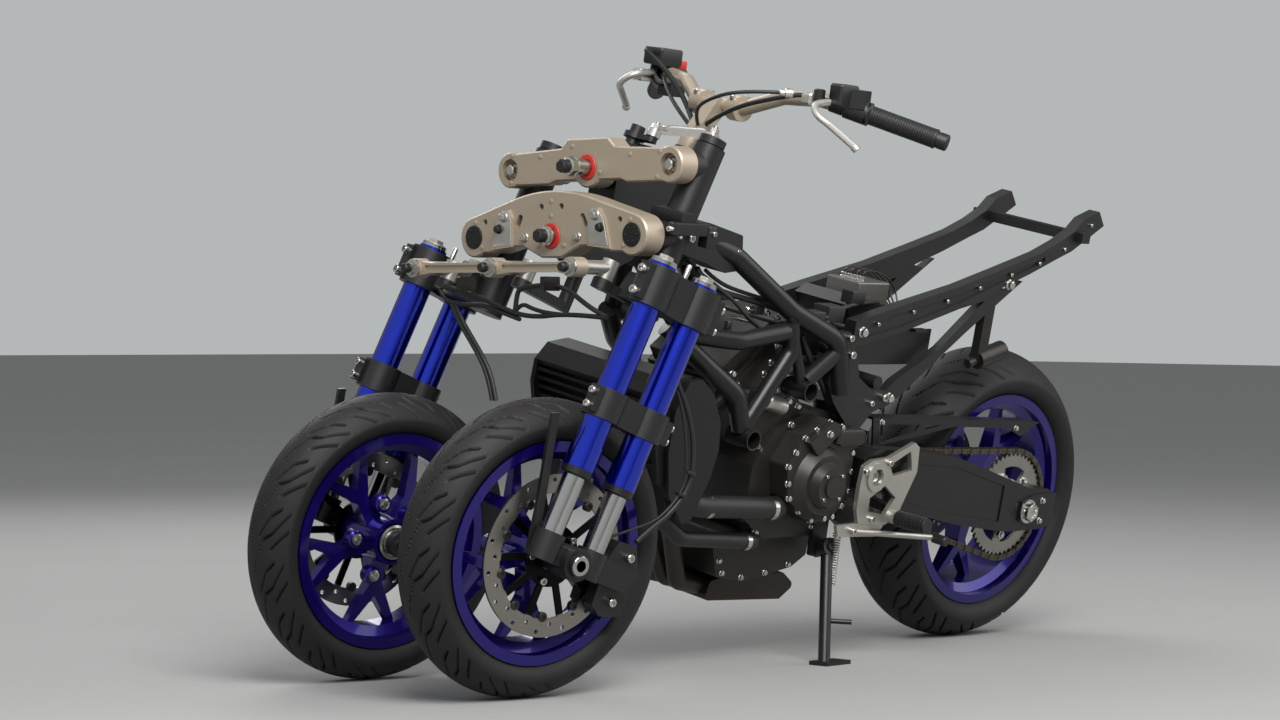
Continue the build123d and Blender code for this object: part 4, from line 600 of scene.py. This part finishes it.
def design_axes(joint, known, side, up):
    """Origin and axes of the upright drawing, from a joint and where the drawing has it."""
    ahead = np.cross(side, up)
    x = math.cos(CASTER) * ahead - math.sin(CASTER) * up
    z = math.sin(CASTER) * ahead + math.cos(CASTER) * up
    axes = np.stack([x, side, z])
    return np.vstack([joint_at(joint) - np.asarray(known, float) * 0.001 @ axes, axes])


CHASSIS = design_axes("rear_wheel_spin", (0, 0, REAR_R), straight, steer_up)
LEFT_POST = design_axes("left_post_pivot", (1382, ARM_HALF, 852), straight, steer_up)
RIGHT_POST = design_axes("right_post_pivot", (1382, -ARM_HALF, 852), straight, steer_up)
LINK = np.vstack([joint_at("link_pivot"), CHASSIS[1:]])
black_plastic = finish("black_plastic", (23, 23, 24), 0.42, drift=0.15, blotch=30, grain=900, lift=0.1, dust=0.04)
coat(black_cast, "left_post", "right_post", "head_casting", "pivot_casting", "pitman", "subframe")
coat(black_satin, "main_frame", "side_stand")
coat(machined, "steering_link")
for x, body in ((0, "handlebar"), (LINK_LONG, "pitman")):
    nut = turned(LINK, (x, 0, 0), (-math.sin(CASTER), 0, math.cos(CASTER)), LINK_NUT)
    piece(body + "_link_nut", [nut], bright, body)
piece("link_rib", [box(LINK, (24, -8, 5), (136, 8, 17), 3)], machined, "steering_link")
for s, side, place in ((1, "left", LEFT_POST), (-1, "right", RIGHT_POST)):
    y = s * ARM_HALF
    clamp = [box(place, (1262, y - 40, 868), (1300, y + 40, 902)),
             box(place, (1230, y + s * 34, 862), (1330, y + s * 52, 884)),
             box(place, (1216, y + s * 30, 840), (1238, y + s * 54, 880))]
    bolts = [socket_bolt(place, (x, y + s * out, z), (ahead, s * side_on, 0), r)
             for x, out, z, (ahead, side_on), r in POST_BOLTS]
    piece(side + "_post_clamp", clamp, black_cast, side + "_post")
    piece(side + "_post_bolts", bolts, bright, side + "_post")
frame_bolts, rings = [], []
for s in (-1, 1):
    frame_bolts += [socket_bolt(CHASSIS, (x, s * y, z), (0, s, 0), r) for x, y, z, r in FRAME_BOLTS]
    rings += [turned(CHASSIS, (x, s * SOCKET_Y, z), (0, s, 0), SOCKET_RING, 36) for x, z in SOCKETS]
piece("frame_bolts", frame_bolts, bright, "chassis")
piece("frame_socket_rings", rings, dark_steel, "chassis")

# ---------------- engine
# Three cylinders that lean forward on one crankcase, in dark bronze-grey castings.
# Plated bolts stand round every cover, the oil pan and the cylinders; the smaller ones are seated on the castings'
# left side wherever that lies.
CRANK_X, CRANK_Z, BANK, OUTSIDE = 700, 403, math.radians(38), 400
COVER_BOLTS = ((614, 496), (654, 515), (694, 525), (730, 510), (760, 494), (782, 466), (797, 438), (790, 404),
               (780, 374), (744, 347), (704, 327), (664, 329), (640, 332), (618, 354), (604, 384), (606, 424),
               (610, 462))
PAN_BOLTS = ((614, 282), (660, 282), (706, 282), (752, 282), (798, 282), (844, 282), (874, 270), (864, 230),
             (850, 204), (790, 192), (720, 198), (652, 212))
SEATED_BOLTS = ((844, 489), (757, 511), (708, 506), (811, 294), (852, 613), (837, 636), (760, 556), (800, 580),
                (640, 300))
SMALL_COVERS = ((632, 496, 42, 16), (880, 560, 30, 24), (830, 330, 34, 12))     # x, z, half length, half height
SENSOR_CAN = [(0, 0), (15, 0), (17, 3), (17, 54), (14, 58), (9, 58), (9, 64), (0, 64)]
bronze = finish("engine_bronze", (41, 39, 37), 0.42, 0.35, drift=0.18, blotch=12, grain=1000, lift=0.14, dust=0.04)


def flank(x, z):
    """How far out the engine's left side lies at x and z, in millimetres."""
    start, inward = put(CHASSIS, (x, OUTSIDE, z)), -CHASSIS[2]
    met = [nodes[name].ray_cast(Vector(start), Vector(inward)) for name in ("crankcase", "cylinder_block")]
    return max(OUTSIDE - 1000 * np.dot(np.array(hit[1]) - start, inward) for hit in met if hit[0])


coat(bronze, "crankcase", "cylinder_block")
cover_bolts = [hex_bolt(CHASSIS, (x, 163, z), (0, 1, 0), 5.2) for x, z in COVER_BOLTS]
cover_bolts += [socket_bolt(CHASSIS, (CRANK_X + x, 204, CRANK_Z + z), (0, 1, 0), 3.6)
                for x, _, z in ring_of(4, 33, 0, 45)]
cover_bolts += [hex_bolt(CHASSIS, (x, flank(x, z), z), (0, 1, 0), 5.6) for x, z in SEATED_BOLTS]
pan_bolts = [hex_bolt(CHASSIS, (x, 84, z), (0, 1, 0), 4.6) for x, z in PAN_BOLTS]
head_bolts = []
for up in (130, 160, 205, 245, 290, 318):
    for off in (-64, 64):
        x = CRANK_X + up * math.sin(BANK) + off * math.cos(BANK)
        z = CRANK_Z + up * math.cos(BANK) - off * math.sin(BANK)
        head_bolts.append(hex_bolt(CHASSIS, (x, 110 if up > 230 else 104, z), (0, 1, 0), 5.4))
small_covers = [box(CHASSIS, (x - long, flank(x, z) - 12, z - tall), (x + long, flank(x, z) + 14, z + tall), 5)
                for x, z, long, tall in SMALL_COVERS]
sensor = turned(CHASSIS, (782, flank(812, 553) + 8, 545), (0.963, 0, 0.268), SENSOR_CAN, 28)
piece("engine_cover_bolts", cover_bolts, bright, "chassis")
piece("engine_small_covers", small_covers, bronze, "chassis")
piece("engine_sensor_can", [sensor], cast_alloy, "chassis")
piece("engine_pan_bolts", pan_bolts, bright, "chassis")
piece("cylinder_bolts", head_bolts, bright, "chassis")

# ---------------- radiator and hoses
# A black finned core behind moulded louvres, with a fan and side covers.
# Black rubber hoses run to the engine and are held by bright band clamps.
BANDS = ((1010, 155, 364, (1, 0.04, 0.07), 22),         # x, y, z, the hose's direction there, its radius
         (812, 147, 351, (1, 0, 0.03), 22),
         (850, 130, 281, (1, 0, 0.06), 16))
fins = finish("radiator_black", (20, 20, 21), 0.55, 0.3, drift=0.2, blotch=30, grain=700, lift=0.25)
coat(fins, "radiator")
coat(black_rubber, "coolant_hoses")
bands = [turned(CHASSIS, (x, y, z), along, [(r, -6), (r + 1.6, -6), (r + 1.6, 6), (r, 6)], 32)
         for x, y, z, along, r in BANDS]
piece("hose_bands", bands, bright, "chassis")

# ---------------- exhaust
# Stainless headers, collector and silencer, welded from bent tube.
# The steel is brushed, and heat has browned it.
coat(finish("exhaust_steel", (62, 57, 52), 0.42, 0.8, drift=0.25, blotch=7, grain=900, lift=0.04), "exhaust")

# ---------------- chain and sprocket
# A steel roller chain of waisted side plates on pins and rollers, dull with oil, round both sprockets.
# The rear sprocket is bolted to its carrier by five nuts.
PITCH, REAR_TEETH, FRONT_TEETH, CHAIN_Y = 15.875, 47, 16, 114.0
INNER_PLATE, OUTER_PLATE = (4.3, 6.1), (6.6, 8.4)       # from the chain's middle to a plate's two faces
PLATE_PAST_PIN, PLATE_TALL = 6.6, 6.9
PIN_HALF, ROLLER_HALF = 9.6, 4.2
PIN = [(0, -PIN_HALF), (2.6, -PIN_HALF), (2.6, PIN_HALF), (0, PIN_HALF)]
ROLLER = [(2.6, -ROLLER_HALF), (5, -ROLLER_HALF), (5, ROLLER_HALF), (2.6, ROLLER_HALF)]
SPROCKET_NUT = [(0, -1), (12, -1), (12, 2), (9, 2, 1), (9, 10, 1), (5.5, 11), (5.5, 14), (0, 14)]
SPROCKET_HUB = [(34, -3), (50, -3), (50, 2), (44, 6), (35, 6), (34, 0)]
oily_steel = finish("chain_steel", (92, 86, 74), 0.42, 0.9, drift=0.25, blotch=60, grain=900, lift=0.05)
coat(finish("sprocket_steel", (150, 147, 140), 0.38, 0.95, drift=0.15, blotch=30), "rear_sprocket")

rear_c, front_c = np.array([0.0, REAR_R]), np.array([612.0, 412.0])
rear_r, front_r = (PITCH / (2 * math.sin(math.pi / n)) for n in (REAR_TEETH, FRONT_TEETH))
gap = front_c - rear_c
span = np.linalg.norm(gap)
slope, wrap = math.atan2(gap[1], gap[0]), math.asin((rear_r - front_r) / span)
run = math.sqrt(span ** 2 - (rear_r - front_r) ** 2)
top_a, low_a = slope + math.pi / 2 - wrap, slope - math.pi / 2 + wrap
front_arc, rear_arc = front_r * (top_a - low_a), rear_r * (2 * math.pi - (top_a - low_a))
whole = 2 * run + front_arc + rear_arc
links = int(round(whole / PITCH / 2)) * 2


def rim(centre, radius, angle):
    """Places on a circle at a column of angles."""
    return centre + radius * np.hstack([np.cos(angle), np.sin(angle)])


def on_chain(s):
    """Places on the pitch line at lengths s along it: forward on the upper tangent, round the front sprocket, back
    on the lower tangent and round the rear sprocket."""
    s = np.asarray(s, float)[:, None]
    round_front, back = s - run, s - run - front_arc
    corners = [rim(c, r, np.array([a])) for a in (top_a, low_a) for c, r in ((rear_c, rear_r), (front_c, front_r))]
    return np.select([s < run, round_front < front_arc, back < run],
                     [corners[0] + s / run * (corners[1] - corners[0]),
                      rim(front_c, front_r, top_a - round_front / front_r),
                      corners[3] + back / run * (corners[2] - corners[3])],
                     rim(rear_c, rear_r, low_a - (back - run) / rear_r))


pins = on_chain(np.arange(links) * whole / links)
step = np.roll(pins, -1, 0) - pins
reach = np.linalg.norm(step, axis=1)[:, None]
ahead = step / reach
upward = ahead[:, ::-1] * (-1, 1)
middle = (pins + step / 2)[:, None]
t = np.linspace(0, 2 * math.pi, 16, endpoint=False)
waist = 1 - 0.22 * np.exp(-(np.cos(t) / 0.42) ** 2)
long = np.sign(np.cos(t)) * np.abs(np.cos(t)) ** 0.62
tall = PLATE_TALL * waist * np.sign(np.sin(t)) * np.abs(np.sin(t)) ** 0.8
edge = (middle + (reach / 2 + PLATE_PAST_PIN)[:, None] * long[:, None] * ahead[:, None] +
        tall[:, None] * upward[:, None])
middle = np.broadcast_to(middle, edge.shape)
grids = []
for k, (x, z) in enumerate(pins):
    near_face, far_face = OUTER_PLATE if k % 2 else INNER_PLATE
    for s in (-1, 1):
        rows = [np.insert(ring[k], 1, CHAIN_Y + s * y, axis=1) for ring, y in
                ((middle, near_face), (edge, near_face), (edge, far_face), (middle, far_face))]
        grids.append((put(CHASSIS, np.array(rows)), False, True))
    grids += [turned(CHASSIS, (x, CHAIN_Y, z), (0, 1, 0), rows, n) for rows, n in ((PIN, 8), (ROLLER, 10))]
piece("chain_links", grids, oily_steel, "chassis", 30, ("chain",))
nuts = [turned(REAR_WHEEL, p, (0, 1, 0), SPROCKET_NUT) for p in ring_of(5, 66, 117, -30)]
piece("sprocket_nuts", nuts, bright, "rear_wheel")
hub = turned(REAR_WHEEL, (0, 117, 0), (0, 1, 0), SPROCKET_HUB, 48)
piece("sprocket_hub", [hub], dark_steel, "rear_wheel")

# ---------------- swingarm
# A black painted box-section arm welded from sheet, with the chain guard bolted along its left beam.
# At each rear end are a bright adjuster plate, the axle's nut and the adjuster screw.
ARM_FACE_Y, BEAM_Y = 178, 152
ADJUSTER_BOLTS = ((-44, 22), (-44, -22), (18, 0))       # ahead of and above the axle
GUARD_BOLTS = ((500, 452), (40, 494), (496, 516))
REAR_NUT = [(0, -1), (26, -1), (26, 2), (23, 3), (18, 3, 1), (18, 13, 1), (14, 15), (11, 15), (10, 12), (0, 12)]
ADJUSTER = [(0, -4), (8, -4), (8, 0), (7, 1, 1), (7, 7, 1), (4, 8), (4, 16), (0, 16)]
coat(black_satin, "swingarm")
adjusters = []
for s in (-1, 1):
    adjusters.append(turned(CHASSIS, (0, s * ARM_FACE_Y, REAR_R), (0, s, 0), REAR_NUT, 36))
    adjusters.append(turned(CHASSIS, (-84, s * BEAM_Y, REAR_R), (-1, 0, 0), ADJUSTER, 18))
    adjusters += [hex_bolt(CHASSIS, (x, s * ARM_FACE_Y, REAR_R + z), (0, s, 0), 5) for x, z in ADJUSTER_BOLTS]
piece("axle_adjusters", adjusters, bright, "chassis")
guard_bolts = [hex_bolt(CHASSIS, (x, 136, z), (0, 1, 0), 4.5) for x, z in GUARD_BOLTS]
piece("chain_guard_bolts", guard_bolts, bright, "chassis")

# ---------------- foot rests and gear lever
# Open cast alloy brackets with a satin machined face, bolted to the frame and through the swingarm's pivot.
# Ribbed black rubbers are pushed over the rests and the gear lever's toe piece.
REST_BOLTS = ((548, 330), (590, 430), (520, 446), (600, 308))
PIVOT_NUT = [(0, -6), (15, -6), (15, 4), (12, 6, 1), (12, 10, 1), (7, 10, 1), (7, 5, 1), (0, 5)]
TOE_PIECE = [(0, 0), (9.5, 0), (10.5, 2), (10.5, 33), (9, 35), (0, 35)]
RIB_PITCH = 6.5
coat(cast_alloy, "foot_brackets")
profile = [(13.5, 0)]
for z in 2 + RIB_PITCH * np.arange(11):
    profile += [(17, z), (17, z + 3), (14.5, z + 4), (14.5, z + 6)]
profile += [(16, 76), (15, 79), (0, 79)]
ribs, rest_bolts = [], []
for s in (-1, 1):
    ribs.append(turned(CHASSIS, (480, s * 206, 332.6), (0, s, 0.04), profile))
    rest_bolts += [socket_bolt(CHASSIS, (x, s * 192, z), (0, s, 0), 6.5) for x, z in REST_BOLTS]
    rest_bolts.append(turned(CHASSIS, (552, s * 176, 417), (0, s, 0), PIVOT_NUT))
toe = turned(CHASSIS, (374, 224, 292), (0, 1, 0), TOE_PIECE, 20)
piece("rest_rubbers", ribs, black_rubber, "chassis")
piece("rest_bolts", rest_bolts, bright, "chassis")
piece("gear_lever_rubber", [toe], black_rubber, "chassis")

# ---------------- side stand
# A black painted steel leg that carries the parked machine on its left.
# Two bright springs, one inside the other, pull it to its bracket.
SPRING_TOP, SPRING_FOOT = (604, 158, 300), (618, 176, 188)


def spring(place, a, b, radius, wire, turns, around=6, least=0.0):
    """A round wire wound about the line from a to b; least is the share of its radius that its ends keep."""
    a, b = np.asarray(a, float), np.asarray(b, float)
    t = np.linspace(0, 1, turns * 10)
    d = unit(b - a)
    u, v = across_axis(d)
    close = np.clip(np.minimum(t, 1 - t) * turns, least, 1)[:, None] * radius
    spin = t[:, None] * turns * 2 * math.pi
    line = a + t[:, None] * (b - a) + close * (np.cos(spin) * u + np.sin(spin) * v)
    ahead = np.gradient(line, axis=0)
    ahead /= np.linalg.norm(ahead, axis=1)[:, None]
    side = np.cross(ahead, d + 1e-3)
    side /= np.linalg.norm(side, axis=1)[:, None]
    up = np.cross(ahead, side)
    w = np.linspace(0, 2 * math.pi, around, endpoint=False)
    tube = line[:, None] + wire * (np.cos(w)[None, :, None] * side[:, None] + np.sin(w)[None, :, None] * up[:, None])
    ends = [np.repeat(line[i][None, None], around, 1) for i in (0, -1)]
    return put(place, np.concatenate([ends[0], tube, ends[1]])), False, True


piece("stand_springs", [spring(CHASSIS, SPRING_TOP, SPRING_FOOT, radius, wire, 22)
                        for radius, wire in ((7.5, 1.5), (4.6, 1.1))], bright, "side_stand")

# ---------------- subframe
# Two black cast rails that carry the seat, bolted to the frame and joined at their rear ends.
# Bright rivets run along their outer faces, with larger bolts where they meet the frame.
RAIL_Y = 134
RIVETS = ((560, 719), (455, 745), (350, 768), (250, 797), (150, 826), (60, 852), (-20, 884), (-100, 938))
RAIL_BOLTS = ((604, 702), (150, 805), (486, 566))
rivets = []
for s in (-1, 1):
    rivets += [socket_bolt(CHASSIS, (x, s * RAIL_Y, z), (0, s, 0), 4.2) for x, z in RIVETS]
    rivets += [hex_bolt(CHASSIS, (x, s * RAIL_Y, z), (0, s, 0), 8) for x, z in RAIL_BOLTS]
piece("subframe_bolts", rivets, bright, "chassis")

# ---------------- tray, brake modulator and looms
# A moulded black tray holds a cast brake modulator, whose four steel pipes loop over it from their unions.
# Taped looms run along the left side to plugs and small housings over the engine, clipped to the frame.
PIPES_Y, UNION = (-24, -8, 8, 24), (500, 786)
LOOMS = (                                               # radius, places
    (6, ((1039, 60, 810), (1019, 62, 787), (978, 70, 768), (917, 84, 757), (841, 100, 744), (760, 112, 712),
         (690, 112, 716))),
    (4, ((1015, 60, 807), (978, 66, 782), (905, 84, 765), (843, 100, 754), (780, 112, 728))),
    (4, ((1060, 40, 820), (980, 96, 770), (920, 112, 718), (860, 118, 690), (800, 116, 668))),
    (5, ((700, 110, 724), (640, 96, 742), (560, 84, 752), (480, 60, 748))),
    (7, ((760, 112, 690), (740, 128, 640), (700, 132, 600), (660, 124, 560))))
PLUGS = (((716, 96, 716), (768, 128, 740)), ((640, 70, 716), (690, 112, 748)),      # lower and upper corner
         ((560, 60, 750), (600, 92, 776)), ((360, -60, 700), (400, 40, 730)), ((330, -40, 684), (420, 40, 712)),
         ((868, 82, 728), (894, 98, 744)), ((952, 84, 688), (964, 96, 714)))
LOOM_BOLTS = ((857, 96, 732), (990, 92, 745), (834, 104, 724))
coat(black_plastic, "electrics_tray")
coat(finish("modulator_alloy", (120, 118, 113), 0.42, 0.8, drift=0.15), "brake_modulator")
x, z = UNION
cables("brake_pipes", CHASSIS, [(1.8, [(x, y, z), (x, y, z + 14), (488, y + 6, 808), (450, y + 10, 804),
                                       (418, y + 16, 786), (404, y + 26, 752), (430, 80, 720)]) for y in PIPES_Y],
       dark_steel, "chassis")
unions = [hex_bolt(CHASSIS, (x, y, z), (0, 0, 1), 5, 1.4) for y in PIPES_Y]
piece("brake_unions", unions, bright, "chassis")
cables("chassis_loom", CHASSIS, LOOMS, black_rubber, "chassis")
fittings = [turned(CHASSIS, (890, 92, 712), (0.99, 0, 0.15), [(0, 0), (4, 0), (4, 66), (0, 66)], 14),
            turned(CHASSIS, (896, 90, 736), (1, 0, 0.1), [(0, 0), (5, 0), (5, 14), (3, 16), (0, 16)], 14)]
fittings += [hex_bolt(CHASSIS, p, (0, 1, 0), 4.5) for p in LOOM_BOLTS]
piece("loom_fittings", fittings, bright, "chassis")
piece("loom_plugs", [box(CHASSIS, low, high) for low, high in PLUGS], black_plastic, "chassis")

# ---------------- shock
# A damper in dark plated steel between the frame and the swingarm.
# A bronze-painted coil spring is wound round it between its seats.
coat(dark_steel, "rear_shock")
coil_bronze = finish("coil_bronze", (96, 74, 46), 0.36, 0.6, drift=0.12, blotch=20, grain=900, lift=0.03)
coil = spring(CHASSIS, (454.8, 0, 369.3), (499.8, 0, 521.2), 35, 5.2, 7, 10, 1.0)
piece("shock_coil", [coil], coil_bronze, "chassis")

# ---------------- handlebar
# A bar of the warm grey coat, clamped on its riser, with ribbed black rubber grips and plugs in its ends.
# Switch cases and lever perches are clamped beside the grips; their cables and leads run back to the riser's stem.
GRIP_INNER, GRIP_OUTER = (889, 307, 1143), (809, 417, 1114)
BAR_BOLTS = ((968, -0.3), (1004, 0.3))                  # x and lean of the riser's clamp bolts
GRIP_RIBS = 26
BAR_END = [(0, 0), (15.6, 0), (15.6, 2), (14, 3), (14, 4), (15.8, 5), (15.8, 20), (14, 22), (0, 22)]
PERCH = [(0, 0), (6, 0), (9, 3), (9, 14), (6, 16), (6, 24), (4, 26), (0, 26)]
BAR_LINES = (                                           # radius, places
    (3.6, ((1006, 200, 1162), (1071, 150, 1157), (1100, 90, 1130), (1082, 40, 1104), (1040, 6, 1076))),
    (4.5, ((912, 272, 1150), (960, 230, 1168), (1000, 170, 1150), (1036, 80, 1116), (1030, 14, 1078))),
    (5, ((950, -250, 1190), (1000, -250, 1207), (985, -200, 1180), (983, -130, 1133), (1010, -50, 1085),
         (1034, -12, 1066))),
    (4, ((890, -270, 1150), (950, -230, 1160), (1000, -150, 1130), (1030, -70, 1096), (1040, -14, 1070))))
BAR = design_axes("handlebar_pivot", (1016, 0, 1122), steered, steer_up)
coat(warm_grey, "handlebar")
coat(black_plastic, "bar_controls")
coat(finish("lever_alloy", (198, 196, 190), 0.34, 0.7, drift=0.05, lift=0.0), "levers")
for s, side in ((1, "left"), (-1, "right")):
    inner, outer = (np.array([x, s * y, z], float) for x, y, z in (GRIP_INNER, GRIP_OUTER))
    along, length = unit(outer - inner), np.linalg.norm(outer - inner)
    profile = [(15, 2), (22, 2), (22.5, 5), (18.4, 8)]
    for z in 9 + np.arange(GRIP_RIBS) * (length - 16) / GRIP_RIBS:
        profile += [(18.0, z), (18.3, z + 1.2), (18.3, z + 2.8), (17.6, z + 3.4)]
    profile += [(18.6, length - 5), (18.6, length - 1), (17, length), (14, length)]
    piece(side + "_grip", [turned(BAR, inner, along, profile, 28), turned(BAR, outer, along, BAR_END, 28)],
          black_rubber, "handlebar")
    piece(side + "_bar_bolts", [socket_bolt(BAR, (x, s * 54, 1136), (lean, 0, 1), 5.5) for x, lean in BAR_BOLTS],
          bright, "handlebar")
piece("stop_switch", [box(BAR, (860, -286, 1166), (884, -264, 1184), 3)], red_seal, "handlebar")
control_bodies = [box(BAR, (905, 262, 1150), (952, 298, 1192), 4), box(BAR, (905, -284, 1172), (962, -226, 1206), 4),
                  box(BAR, (866, -290, 1112), (912, -252, 1168), 4),
                  turned(BAR, (967, 255, 1158), (0, 0, 1), [(0, 0), (11, 0), (11, 18), (8, 20), (0, 20)])]
piece("control_bodies", control_bodies, black_plastic, "handlebar")
perches = [turned(BAR, (992, 211, 1163), (0.79, -0.61, -0.06), PERCH, 18),
           box(BAR, (946, 222, 1146), (984, 250, 1168), 4), box(BAR, (930, -312, 1136), (964, -282, 1160), 4)]
piece("lever_perches", perches, machined, "handlebar")
cables("bar_cables", BAR, BAR_LINES, black_rubber, "handlebar")
